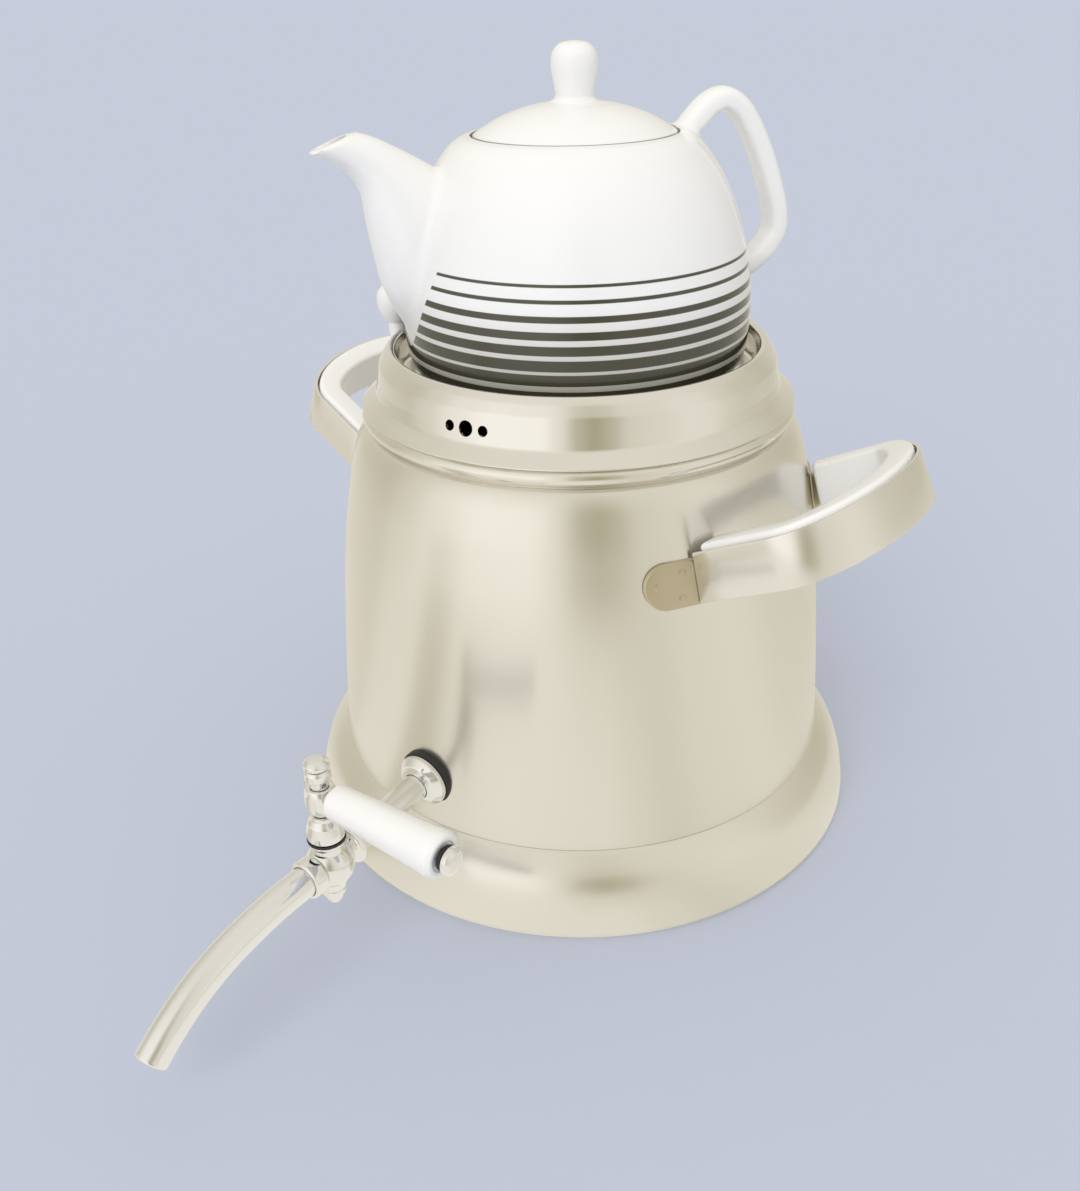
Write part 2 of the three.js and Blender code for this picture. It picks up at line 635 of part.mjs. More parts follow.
add('lever_hub', hubBarrel.add(hubRod).subtract(hubBore), 'chrome');
const rodBore = lever.rodRadius + fit.gap;
const gripBulge = (lever.gripEndRadius - lever.gripRootRadius) / 2;
add('lever_grip', alongLever(closed([
  [rodBore, lever.gripStart], [lever.gripRootRadius * lever.gripNeckShare, lever.gripStart],
  [lever.gripRootRadius, lever.gripStart + gripBulge],
  [lever.gripEndRadius - gripBulge / 2, gripEnd - lever.gripLength / 4],
  [lever.gripEndRadius, gripEnd - lever.gripLength / 8], [lever.gripEndRadius, gripEnd - gripBulge * 2],
  [lever.gripEndRadius - gripBulge, gripEnd - gripBulge / 2],
  [lever.washerRadius, gripEnd], [rodBore, gripEnd],
])), 'bakelite');
const washerOuter = lever.washerRadius * lever.washerGrooveShare;
add('lever_washer', alongLever(ring(rodBore, washerOuter, gripEnd + fit.gap, washerEnd)), 'rubber');
add('lever_end_nut', alongLever(closed([
  [rodBore, washerEnd + fit.gap], [lever.endNutRadius, washerEnd + fit.gap],
  [lever.endNutRadius, nutEnd - fit.gap], [lever.endNutRadius * lever.endNutFaceShare, nutEnd], [0, nutEnd],
  [0, rodEnd + fit.gap], [rodBore, rodEnd + fit.gap],
])), 'chrome');
const collarStart = hubTop + fit.gap;
const finialStart = hubTop + lever.stemAboveHub + lever.collarThickness;
const collarNeck = lever.collarRadius * lever.collarNeckShare;
add('stem_collar', upright(closed([
  [stemBore, collarStart], [collarNeck, collarStart], [collarNeck, finialStart - lever.collarThickness],
  [lever.collarRadius, finialStart - lever.collarThickness],
  [lever.collarRadius, finialStart - fit.gap], [stemBore, finialStart - fit.gap],
])), 'chrome');
add('stem_finial', upright(closed([
  [stemBore, finialStart], [lever.finialRadius, finialStart],
  ...finialShares.map(([radiusShare, heightShare]) => [
    radiusShare * lever.finialRadius, finialStart + heightShare * lever.finialHeight]),
  [0, stemTop + fit.gap], [stemBore, stemTop + fit.gap],
])), 'chrome');

// Spout: its coupling collar and the curved tube
add('spout_collar', alongSpout(closed([
  [spout.tubeRadius + fit.gap, socketStart + fit.gap], [spout.collarRadius, socketStart + fit.gap],
  [spout.collarRadius, socketEnd - fit.gap * 2], [spout.collarRadius - fit.gap * 2, socketEnd],
  [spout.tubeRadius + fit.gap, socketEnd],
])), 'chrome');
const spoutLine = new THREE.CatmullRomCurve3([
  new THREE.Vector3(0, ballPlace.y - socketStart - 4 * fit.gap, ballPlace.z),
  ...spoutShares.map(([outShare, dropShare]) => new THREE.Vector3(
    0, ballPlace.y - outShare * spout.reach, ballPlace.z - dropShare * spout.drop)),
]);
function spoutRings(radius, extra) {
  return Array.from({ length: spout.steps + 1 }, (_, i) => {
    const share = i / spout.steps;
    const along = spoutLine.getTangentAt(share);
    const lift = new THREE.Vector3(1, 0, 0).cross(along);
    const past = i === 0 ? -extra : (i === spout.steps ? extra : 0);
    const middle = spoutLine.getPointAt(share).addScaledVector(along, past);
    return Array.from({ length: spout.sides }, (__, side) => {
      const angle = (side / spout.sides) * 2 * Math.PI;
      return middle.clone().addScaledVector(new THREE.Vector3(1, 0, 0), radius * Math.cos(angle))
        .addScaledVector(lift, radius * Math.sin(angle));
    });
  });
}
const spoutBore = loft(spoutRings(spout.bore, fit.overrun));
add('spout_tube', loft(spoutRings(spout.tubeRadius, 0)).subtract(spoutBore), 'chrome');

// Stand ring: one sheet from the well's ledge over the crest to the flange and the skirt inside the rim
const standFoot = kettle.rimHeight + fit.gap;
const ledgeHeight = standFoot + stand.wellRise;
const crestHeight = standFoot + stand.crestRise;
const crestHalf = (stand.wallRadius - stand.crestRadius) / 2;
const hem = stand.flangeHeight / 4;
const standPath = [
  [stand.ledgeRadius, ledgeHeight], [stand.wellRadius - hem, ledgeHeight],
  [stand.wellRadius, ledgeHeight + hem],
  [stand.wellRadius, standFoot + stand.shoulderRise], [stand.wellRadius + hem, crestHeight - hem],
  [stand.crestRadius - crestHalf / 2, crestHeight], [stand.crestRadius + crestHalf / 2, crestHeight],
  [stand.wallRadius - hem, crestHeight - crestHalf], [stand.wallRadius, standFoot + stand.shoulderRise],
  [stand.wallFootRadius - hem / 2, standFoot + stand.wallFootRise + hem],
  [stand.wallFootRadius + hem / 2, standFoot + stand.wallFootRise - hem / 2],
  [stand.flangeRadius - hem, standFoot + stand.flangeHeight],
  [stand.flangeRadius, standFoot + stand.flangeHeight - hem], [stand.flangeRadius, standFoot],
  [stand.skirtRadius, standFoot], [stand.skirtRadius, standFoot - stand.skirtDepth],
];
let standShell = turned(sheetOf(standPath, stand.sheet));
const radial = (angle, radius, height) => turnZ(angle)
  .multiply(new THREE.Matrix4().makeTranslation(0, -radius, height))
  .multiply(new THREE.Matrix4().makeRotationX(Math.PI / 2));
ventHoles.radii.forEach((radius, i) => {
  const angle = ventHoles.turn + ((i - 1) * ventHoles.spacing) / stand.wallRadius;
  standShell = standShell.subtract(moved(rod(radius, -fit.overrun, fit.overrun, facets.fine),
    radial(angle, stand.wallRadius, standFoot + ventHoles.rise)));
});
const knobFrame = turnZ(standKnob.turn)
  .multiply(new THREE.Matrix4().makeTranslation(0, -stand.crestRadius, crestHeight));
const onKnob = (points, sides = facets.small) => moved(turned(points, sides), knobFrame);
const knobBore = standKnob.screwRadius + fit.gap;
const screwHole = moved(rod(knobBore, -fit.overrun, fit.overrun, facets.fine), knobFrame);
add('stand_ring', standShell.subtract(screwHole), 'brightSteel');
add('stand_knob', onKnob(closed([
  [knobBore, fit.gap], ...standKnobShares.map(([radiusShare, heightShare]) => [
    radiusShare * standKnob.radius, fit.gap + heightShare * standKnob.height]),
  [0, standKnob.screwGrip + fit.gap], [knobBore, standKnob.screwGrip + fit.gap],
])), 'bakelite');
const headTop = -standKnob.screwHeadDrop - fit.gap;
const headBottom = headTop - standKnob.screwHeadHeight;
add('stand_knob_screw', onKnob([
  [0, headBottom], [standKnob.screwHeadRadius, headBottom],
  [standKnob.screwHeadRadius, headTop], [standKnob.screwRadius, headTop],
  [standKnob.screwRadius, standKnob.screwGrip], [0, standKnob.screwGrip],
], facets.fine), 'brightSteel');

const plateBottom = ledgeHeight + fit.gap;
const plateTop = plateBottom + seatPlate.thickness;
const plateRadius = stand.wellRadius - hem - seatPlate.play;
const plateCut = [plateBottom - fit.overrun, plateTop + fit.overrun];
let plateBody = rod(plateRadius, plateBottom, plateTop, facets.large)
  .subtract(rod(seatPlate.centreRadius, ...plateCut));
for (let i = 0; i < seatPlate.holes; i += 1) {
  const place = turnZ((i / seatPlate.holes) * 2 * Math.PI)
    .multiply(new THREE.Matrix4().makeTranslation(seatPlate.holeCircle, 0, 0));
  plateBody = plateBody.subtract(moved(rod(seatPlate.holeRadius, ...plateCut, facets.fine), place));
}
add('seat_plate', plateBody, 'brightSteel');

// Teapot in its own frame: the spout along +X, the handle along -X
const potBase = plateTop + fit.gap;
const potFrame = turnZ(teapot.turn).multiply(new THREE.Matrix4().makeTranslation(0, 0, potBase));
const potTop = teapot.height;
const potPath = potShares.map(([radiusShare, heightShare]) => [
  radiusShare * teapot.radius, heightShare * potTop]);
potPath.push([teapot.mouthRadius, potTop]);
const potOutside = turned([[0, 0], ...potPath, [0, potTop]]);
const potInsidePath = offset(potPath, -teapot.wall).filter(([, height]) => height > teapot.floor
  && height < potTop - teapot.ledgeDepth - teapot.ledgeThickness);
const ledgeTop = potTop - teapot.ledgeDepth;
const ledgeBottom = ledgeTop - teapot.ledgeThickness;
const potSpace = turned([
  [0, teapot.floor], [potInsidePath[0][0] - teapot.wall, teapot.floor], ...potInsidePath,
  [teapot.ledgeRadius, ledgeBottom], [teapot.ledgeRadius, ledgeTop],
  [teapot.mouthRadius - fit.gap / 2, ledgeTop], [teapot.mouthRadius - fit.gap / 2, potTop + fit.overrun],
  [0, potTop + fit.overrun],
]);

function spoutRing([upOut, upHigh, lowOut, lowHigh, wide], thinner) {
  const upper = new THREE.Vector3(upOut * potSpout.reach, 0, upHigh * teapot.height);
  const lower = new THREE.Vector3(lowOut * potSpout.reach, 0, lowHigh * teapot.height);
  const middle = upper.clone().add(lower).multiplyScalar(0.5);
  const half = upper.clone().sub(middle);
  half.setLength(half.length() - thinner);
  const across = new THREE.Vector3(0, wide * potSpout.rootHalfWidth - thinner, 0);
  return Array.from({ length: potSpout.sides }, (_, side) => {
    const angle = (side / potSpout.sides) * 2 * Math.PI;
    return middle.clone().addScaledVector(half, Math.cos(angle)).addScaledVector(across, Math.sin(angle));
  });
}
const spoutOutside = loft(potSpoutShares.map((shares) => spoutRing(shares, 0)));
const tipShares = potSpoutShares.at(-1);
const pastTip = spoutRing(tipShares, potSpout.lip).map((point) => point.setZ(point.z + fit.overrun));
const channel = loft([
  ...potSpoutShares.slice(0, -1).map((shares) => spoutRing(shares, potSpout.wall)),
  spoutRing(tipShares, potSpout.lip), pastTip,
]).subtract(potOutside);

const handleLine = new THREE.CatmullRomCurve3(potHandleShares.map(
  ([outShare, heightShare]) => new THREE.Vector3(-outShare * potHandle.reach, 0, heightShare * potTop),
));
const potGrip = loft(Array.from({ length: potHandle.steps + 1 }, (_, i) => {
  const along = handleLine.getTangentAt(i / potHandle.steps);
  const across = new THREE.Vector3(0, 1, 0);
  const outward = across.clone().cross(along);
  return Array.from({ length: potHandle.sides }, (__, side) => {
    const angle = (side / potHandle.sides) * 2 * Math.PI;
    return handleLine.getPointAt(i / potHandle.steps)
      .addScaledVector(outward, (potHandle.thickness / 2) * Math.cos(angle))
      .addScaledVector(across, (potHandle.width / 2) * Math.sin(angle));
  });
}));

// Strainer holes through the pot's wall into the spout
let pot = potOutside.add(spoutOutside).add(potGrip).subtract(potSpace).subtract(channel);
const strainerHeight = potTop * teapot.strainerHeightShare;
const strainerCut = [teapot.radius / 2, teapot.radius + fit.overrun / 2];
for (let row = -1; row <= 1; row += 1) {
  for (let column = -1; column <= 1; column += 1) {
    const place = new THREE.Matrix4()
      .makeTranslation(0, column * teapot.strainerSpread, strainerHeight + row * teapot.strainerSpread)
      .multiply(new THREE.Matrix4().makeRotationY(Math.PI / 2));
    pot = pot.subtract(moved(rod(teapot.strainerRadius, ...strainerCut, facets.hexagon), place));
  }
}
add('teapot_body', moved(pot, potFrame), 'porcelain');

// Lid: a dome with its knob, a plug ring inside the mouth and a steam vent
const lidEdge = ledgeTop + fit.gap;
const lidRadius = teapot.mouthRadius - fit.gap * 1.5;
const domeFoot = lidEdge + lid.edge;
const dome = lidDomeShares.map(([radiusShare, riseShare]) => [
  radiusShare * lidRadius, domeFoot + riseShare * lid.crownRise]);
const knobFoot = dome.at(-1)[1];
const knob = lidKnobShares.map(([radiusShare, heightShare]) => [
  radiusShare * lid.knobRadius, knobFoot + heightShare * (lid.knobHeight - fit.gap)]);
const plugInner = lid.plugRadius - lid.plugWall;
const domeInside = offset(dome, -lid.wall).slice(0, -2).filter(([radius]) => radius < plugInner);
const lidBody = turned([
  [0, domeInside.at(-1)[1]], ...domeInside.reverse(), [plugInner, lidEdge],
  [plugInner, lidEdge - lid.plugDepth], [lid.plugRadius, lidEdge - lid.plugDepth],
  [lid.plugRadius, lidEdge], [lidRadius, lidEdge], ...dome, ...knob,
]);
const steamVent = moved(rod(lid.ventRadius, lidEdge - lid.plugDepth, domeFoot + lid.crownRise, facets.fine),
  new THREE.Matrix4().makeTranslation(-lid.ventPlace, 0, 0));
add('teapot_lid', moved(lidBody.subtract(steamVent), potFrame), 'porcelain');

export default group;
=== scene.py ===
"""Looks of the tap kettle with its striped teapot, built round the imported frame.

Sizes are in millimetres and become metres where a mesh is made. +Z is up.
The tap points along -Y and the side handles lie along +X and -X.
"""

import math

import bmesh
import bpy
import numpy as np
from mathutils import Matrix, Vector
from mathutils.bvhtree import BVHTree


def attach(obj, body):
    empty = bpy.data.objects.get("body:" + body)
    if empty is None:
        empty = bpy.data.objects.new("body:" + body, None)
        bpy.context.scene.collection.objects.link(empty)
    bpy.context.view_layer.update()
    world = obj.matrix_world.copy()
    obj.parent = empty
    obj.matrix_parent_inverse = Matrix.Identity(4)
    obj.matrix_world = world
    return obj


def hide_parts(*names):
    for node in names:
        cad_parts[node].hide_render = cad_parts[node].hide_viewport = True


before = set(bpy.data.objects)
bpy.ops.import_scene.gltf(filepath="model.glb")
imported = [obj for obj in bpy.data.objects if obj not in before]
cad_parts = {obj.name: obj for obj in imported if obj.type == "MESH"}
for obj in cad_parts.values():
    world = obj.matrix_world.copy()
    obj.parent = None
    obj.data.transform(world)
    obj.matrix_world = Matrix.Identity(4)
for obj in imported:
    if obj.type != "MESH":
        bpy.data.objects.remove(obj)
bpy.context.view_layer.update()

MM = 0.001
TINY = 1e-6
SHARP = math.radians(38)
STRAP_SHARP = math.radians(25)
POT_SHARP = math.radians(50)
BEVEL_FROM = math.radians(50)
LARGE = 256
MEDIUM = 96
SMALL = 64
TUBE_SIDES = 48
CARD_SIDES = 96
STRAIGHT = math.radians(88)
CORNER_SHARE = 0.48

# Kettle
SEAM_RADIUS = 107.0
SEAM_HEIGHT = 33.0
NECK_RADIUS = 84.5
NECK_HEIGHT = 175.0
BEAD_RADIUS = 87.0
BEAD_ROLL = 3.2
RIM_HEIGHT = 182.0
WALL = 1.0
GAP = 0.3
SEAM_GAP = 0.12
BASE_RADIUS = 121.25
WALL_SHARES = [
    (0, 0), (0.111, 0.261), (0.267, 0.542), (0.378, 0.683), (0.507, 0.796), (0.64, 0.894),
    (0.787, 0.961), (0.924, 0.993), (1, 1),
]
FLARE_SHARES = [(0, 0), (0.14, 0.054), (0.594, 0.286), (0.874, 0.643), (1, 1)]
FOOT_HEIGHT = 5.0
FOOT_WIDTH = 9.0
PAN_RECESS = 3.3
LAP_HEIGHT = 6.0

# Side handles
TILT = math.radians(26)
MOUNT_HEIGHT = 147.0
REACH = 51.0
BEND = 28.0
HALF_WIDTH = 51.0
END_HALF_WIDTH = 48.9
STANDOFF = 2.0
STRAP_HEIGHT = 19.0
STRAP_THICKNESS = 1.2
STRAP_ROUNDING = 0.35
GRIP_THICKNESS = 10.0
GRIP_PROUD = 2.0
GRIP_GAP = 0.8
GRIP_INSET = 5.4
GRIP_ROUNDING = 1.7
LEG_INSET = 3.2
LEG_HEIGHT = 12.0
LEG_LENGTH = 20.0
PLATE_THICKNESS = 1.5
PLATE_WIDTH = 22.6
PLATE_HEIGHT = 17.0
PLATE_RISE = 140.5
LEFT_TURN = math.radians(170)
BEND_STEPS = 64
BEND_SPACING = 2.6
BARE_ARM = 14.0
SEARCH_SPAN = 25.0
SEARCH_STEPS = 40
WELDS = [(8.2, 4.6), (17.6, 0.8), (8.6, -4.9)]
HANDLES = [("right", 0.0, -1), ("left", LEFT_TURN, 1)]

# Tap
TAP_HEIGHT = 53.2
DROOP = math.radians(5.3)
VALVE_OUT = 53.8
BALL_RADIUS = 9.0
LEVER_RISE = 31.3
SPOUT_REACH = 84.5
SPOUT_DROP = 23.4
TUBE_RADIUS = 5.8
TUBE_BORE = 4.6
TUBE_LIP = [
    (TUBE_RADIUS, -0.6), (TUBE_RADIUS - 0.15, -0.2), (TUBE_RADIUS - 0.45, 0.0), (TUBE_BORE + 0.3, 0.0),
    (TUBE_BORE, -0.5),
]
SPOUT_SHARES = [
    (0.16, 0), (0.28, 0.01), (0.43, 0.07), (0.6, 0.2), (0.76, 0.42), (0.9, 0.72), (1, 1),
]

# Stand
STAND_FOOT = RIM_HEIGHT + GAP
STAND_WALL = 79.9
STAND_SHEET = 1.0
STAND_OUTLINE = [
    (60, 191.4), (70.4, 191.4, 0.8), (71.5, 192.5, 1), (71.5, 200.8, 1.5), (72.3, 204, 1.2),
    (74.1, 204.95, 1.2), (76.4, 202.3, 5), (78.8, 198.2, 5), (79.9, 191.6, 3), (81, 187.4, 3), (83.4, 185.3),
]
SKIRT_OUTLINE = [
    (83.6, 185.15), (86.6, 182.7, 0.3), (86.6, 182.3, 0.15), (80, 182.3, 0.3), (80, 168.5, 0.3),
    (79, 168.5, 0.3), (79, 186.2),
]
VENT_RADII = [1.95, 2.85, 1.95]
VENT_TURN = math.radians(5.7)
VENT_SPACING = 7.0
VENT_RISE = 9.9
VENT_DEPTH = 3.0
VENT_SIDES = 40
KNOB_TURN = math.radians(-68)
KNOB_OUT = 75.3
KNOB_FOOT = 205.2

# Teapot
POT_TURN = math.radians(233.2)
POT_BASE = 193.0
POT_RADIUS = 67.2
POT_HEIGHT = 87.6
POT_SHARES = [
    (0.862, 0), (0.93, 0.026), (0.975, 0.075), (1, 0.19), (1, 0.33), (0.978, 0.466), (0.936, 0.604),
    (0.877, 0.735), (0.81, 0.838), (0.743, 0.912), (0.684, 0.963), (0.624, 0.991),
]
MOUTH_RADIUS = 38.7
POT_WALL = 3.6
POT_FLOOR = 4.5
LEDGE_DEPTH = 3.0
LEDGE_RADIUS = 33.0
SPOUT_ROOT = 17.0
POT_SPOUT_REACH = 97.6
POT_SPOUT_SHARES = [
    (0.42, 0.74, 0.62, 0.14, 0.9), (0.46, 0.81, 0.675, 0.217, 1), (0.5, 0.862, 0.726, 0.32, 0.95),
    (0.542, 0.898, 0.772, 0.434, 0.88), (0.583, 0.926, 0.798, 0.576, 0.78),
    (0.634, 0.958, 0.814, 0.707, 0.665), (0.69, 0.992, 0.828, 0.827, 0.55),
    (0.746, 1.023, 0.869, 0.902, 0.465), (0.792, 1.042, 0.925, 0.945, 0.41),
    (0.826, 1.052, 0.997, 0.983, 0.365),
]
POT_HANDLE_REACH = 87.4
POT_HANDLE_THICKNESS = 8.4
POT_HANDLE_WIDTH = 12.6
OUTSIDE_POWER = 0.85
INSIDE_POWER = 0.45
SIDE_POWER = 0.75
POT_HANDLE_SHARES = [
    (0.46, 0.93), (0.53, 1.01), (0.6, 1.075), (0.665, 1.098), (0.735, 1.065), (0.805, 0.975),
    (0.865, 0.86), (0.915, 0.735), (0.95, 0.62), (0.952, 0.53), (0.905, 0.45), (0.82, 0.385), (0.7, 0.33),
]
STRIPES = [
    (239.8, 1.3), (234.7, 1.6), (228.9, 2.5), (223.4, 3.1), (218.3, 3.6), (213.0, 4.2), (207.8, 4.4),
    (198.5, 10.6),
]
# Heights between which painted shade darkens the pot's white, none at the top and full at the foot
PAINTED_SHADE_TOP = 232.0
PAINTED_SHADE_FOOT = 194.0
ROOT_FOOT = 208.2
ROOT_FLARE = 4.35
VOXEL = 0.9
BLEND_NEAR = 1.2
BLEND_FAR = 5.0
SMOOTH_ROUNDS = 30
LEAST_HOLD = 0.35
POT_SIDES = 400
SPACE_SIDES = 128
SPOUT_SIDES = 72
SPACE_TOP = 3.0
CHANNEL_INSET = 3.4
CHANNEL_START = 28
CHANNEL_STEP = 3

# Lid
LID_SIDES = 192
DOME_RISE = 2.4
PLUG_RADIUS = 31.8
PLUG_WALL = 3.0
PLUG_DEPTH = 8.0
LID_VENT_OUT = 24.0
LID_VENT_RADIUS = 1.6
LID_VENT_SIDES = 32

# Camera, solved from the photograph
CAMERA_TURN = math.radians(35.2)
CAMERA_AWAY = 454.2
CAMERA_HEIGHT = 334.4
CAMERA_PITCH = math.radians(28.52)
CAMERA_PAN = math.radians(-2.2)
CAMERA_ROLL = math.radians(-1.61)
CAMERA_LENS = 35.05
CAMERA_SENSOR = 36.0
CAMERA_NEAR = 0.01
CAMERA_FAR = 100

# Colours and light levels
FLOOR_COLOUR = (0.565, 0.61, 0.737)
SATIN_COLOUR = (0.8, 0.78, 0.725)
BRIGHT_COLOUR = (0.82, 0.805, 0.765)
CHROME_COLOUR = (0.84, 0.84, 0.835)
# Bracket steel, painted darker and browner than the strap's as shade
PLATE_SHADED_COLOUR = (0.58, 0.52, 0.38)
POLISHED = 0.12
PLASTIC_COLOUR = (0.92, 0.915, 0.895)
PORCELAIN_COLOUR = (0.92, 0.915, 0.9)
STRIPE_COLOUR = (0.06, 0.056, 0.036)
STRIPE_EDGE = 0.25
ROOT_EDGE = 0.4
POT_SKIN = 0.8
# Painted shadow ring at the lid's edge: its colour, how far in from the mouth it starts and how soft it is
EDGE_SHADOW_COLOUR = (0.16, 0.155, 0.14)
EDGE_SHADOW_INSET = 1.6
EDGE_SHADOW_SOFTNESS = 0.4
# Colour of the painted shade on the pot's white near its foot
LOW_PAINTED_SHADE = (0.34, 0.335, 0.26)
RUBBER_COLOUR = (0.02, 0.02, 0.02)
AIR_COLOUR = (1.0, 0.98, 0.94)
AIR_LEVEL = 0.78
SUN_LEVEL = 1.1
SUN_SPREAD = math.radians(45)
SUN_AZIMUTH = math.radians(-72)
SUN_RISE = math.radians(40)

# Floor, in metres, and the distances between which its mirrored bands change from near to far
FLOOR_RADIUS = 40.0
FLOOR_MIDDLE = 0.0001
FLOOR_DROP = 0.0005
REFLECTOR_HOLE = 0.02
REFLECTOR_DROP = 0.0003
NEAR_REACH = 0.3
FAR_REACH = 1.6

# Rise of a direction, from 0 level to 1 straight up, between which the world's bands fade to plain
BANDS_END = 0.35
PLAIN_START = 0.95

# What the metal mirrors: azimuth in degrees from the camera's side, and share from dark to bright
STUDIO_DARK = (0.453, 0.423, 0.292)
STUDIO_BRIGHT = (1.115, 1.08, 1.02)
STUDIO_MIDDLE = 0.6
NEAR_BANDS = [
    (-180, 0.52), (-150, 0.56), (-115, 0.52), (-100, 0.5), (-88, 0.65), (-72, 0.67), (-64, 0.3), (-58, 0.3),
    (-50, 0.63), (-26, 0.73), (8, 0.69), (18, 0.58), (28, 0.49), (45, 0.58), (65, 0.62), (90, 0.52),
    (120, 0.46), (140, 0.38), (160, 0.46), (180, 0.52),
]
FAR_BANDS = [
    (-180, 0.42), (-150, 0.42), (-125, 0.33), (-105, 0.29), (-90, 0.48), (-70, 0.79), (-48, 1.0), (-20, 0.98),
    (-9, 0.67), (0, 0.17), (9, 0.0), (18, 0.17), (28, 0.48), (45, 0.56), (62, 0.65), (75, 0.63), (90, 0.44),
    (105, 0.33), (130, 0.25), (150, 0.37), (180, 0.42),
]


def lerp(a, b, share):
    return a + (b - a) * share


def smooth_line(points, steps):
    """The points joined by a centripetal Catmull-Rom curve."""
    chain = [np.array(p, float) for p in points]
    chain = [2 * chain[0] - chain[1], *chain, 2 * chain[-1] - chain[-2]]
    line = []
    for i in range(1, len(chain) - 2):
        p = chain[i - 1:i + 3]
        t = [0.0]
        for a, b in zip(p, p[1:]):
            t.append(t[-1] + math.sqrt(max(np.linalg.norm(b - a), TINY)))
        for k in range(steps):
            at = lerp(t[1], t[2], k / steps)
            first = [
                (p[j] * (t[j + 1] - at) + p[j + 1] * (at - t[j])) / (t[j + 1] - t[j]) for j in range(3)
            ]
            second = [
                (first[j] * (t[j + 2] - at) + first[j + 1] * (at - t[j])) / (t[j + 2] - t[j])
                for j in range(2)
            ]
            line.append((second[0] * (t[2] - at) + second[1] * (at - t[1])) / (t[2] - t[1]))
    line.append(chain[-2])
    return line


def filleted(points, radius, steps=5, loop=False):
    """The outline with rounded corners. A point's third value is its own radius."""
    line = []
    for i, point in enumerate(points):
        here = Vector(point[:2])
        own = point[2] if len(point) > 2 else radius
        if own < TINY or (not loop and i in (0, len(points) - 1)):
            line.append(tuple(here))
            continue
        before = Vector(points[i - 1][:2]) - here
        after = Vector(points[(i + 1) % len(points)][:2]) - here
        half = before.angle(after) / 2
        if half > STRAIGHT:
            line.append(tuple(here))
            continue
        back = min(own / math.tan(half), before.length * CORNER_SHARE, after.length * CORNER_SHARE)
        start = here + before.normalized() * back
        end = here + after.normalized() * back
        for k in range(steps + 1):
            s = k / steps
            line.append(tuple(start * (1 - s) ** 2 + here * (2 * s * (1 - s)) + end * s**2))
    return line


def beside(points, distance):
    """The path moved to the right of its direction by a distance."""
    line = []
    for i, point in enumerate(points):
        before = Vector(points[max(i - 1, 0)][:2])
        after = Vector(points[min(i + 1, len(points) - 1)][:2])
        way = (after - before).normalized()
        line.append((point[0] + way.y * distance, point[1] - way.x * distance))
    return line


def on_line(line, index):
    """The line's point at that index, and its direction there."""
    before = Vector(line[max(index - 1, 0)])
    after = Vector(line[min(index + 1, len(line) - 1)])
    return Vector(line[index]), (after - before).normalized()


def evened(points, spacing, bare):
    """The path at even steps along its length, with its ends kept and a bare stretch beside each."""
    line = np.array([point[:2] for point in points], float)
    steps = np.hypot(*np.diff(line, axis=0).T)
    run = np.concatenate([[0.0], np.cumsum(steps)])
    places = np.linspace(bare, run[-1] - bare, round((run[-1] - 2 * bare) / spacing) + 1)
    places = [0.0, *places, run[-1]]
    across = np.interp(places, run, line[:, 0])
    up = np.interp(places, run, line[:, 1])
    return [(float(x), float(y)) for x, y in zip(across, up)]


def turned(profile, sides=MEDIUM, loop=False):
    """Vertices and faces of a profile of radius and height, turned about Z."""
    vertices = []
    rings = []
    for radius, height in profile:
        start = len(vertices)
        if radius < TINY:
            vertices.append((0.0, 0.0, height))
            rings.append([start])
            continue
        for k in range(sides):
            angle = 2 * math.pi * k / sides
            vertices.append((radius * math.cos(angle), radius * math.sin(angle), height))
        rings.append(list(range(start, start + sides)))
    faces = []
    pairs = list(zip(rings, rings[1:]))
    if loop:
        pairs.append((rings[-1], rings[0]))
    for low, high in pairs:
        if len(low) == 1 and len(high) == 1:
            continue
        for k in range(sides):
            corner = [
                low[k % len(low)], low[(k + 1) % sides % len(low)],
                high[(k + 1) % sides % len(high)], high[k % len(high)],
            ]
            face = list(dict.fromkeys(corner))
            if len(face) > 2:
                faces.append(face)
    return vertices, faces


def lofted(rings):
    """Vertices and faces of a closed tube of rings, with capped ends."""
    sides = len(rings[0])
    vertices = [tuple(point) for ring in rings for point in ring]
    faces = []
    for ring in range(len(rings) - 1):
        for side in range(sides):
            a = ring * sides + side
            b = ring * sides + (side + 1) % sides
            faces.append([a, b, b + sides, a + sides])
    last = (len(rings) - 1) * sides
    faces.append(list(range(sides - 1, -1, -1)))
    faces.append(list(range(last, last + sides)))
    return vertices, faces


def placed(shape, matrix):
    vertices, faces = shape
    return [tuple(matrix @ Vector(v)) for v in vertices], faces


def mesh_object(name, *shapes):
    """One object from shapes in millimetres, with its faces turned outward."""
    vertices = []
    faces = []
    for own_vertices, own_faces in shapes:
        start = len(vertices)
        vertices += [tuple(c * MM for c in v) for v in own_vertices]
        faces += [[start + i for i in face] for face in own_faces]
    mesh = bpy.data.meshes.new(name)
    mesh.from_pydata(vertices, [], faces)
    mesh.validate()
    outward(mesh)
    piece = bpy.data.objects.new(name, mesh)
    bpy.context.scene.collection.objects.link(piece)
    return piece


def outward(mesh):
    """Joins doubled vertices and turns the faces outward."""
    work = bmesh.new()
    work.from_mesh(mesh)
    bmesh.ops.remove_doubles(work, verts=work.verts, dist=1e-7)
    bmesh.ops.recalc_face_normals(work, faces=work.faces)
    work.to_mesh(mesh)
    work.free()


def applied(piece):
    """The piece with its modifiers made part of its mesh."""
    graph = bpy.context.evaluated_depsgraph_get()
    mesh = bpy.data.meshes.new_from_object(piece.evaluated_get(graph))
    piece.modifiers.clear()
    piece.data = mesh
    return piece


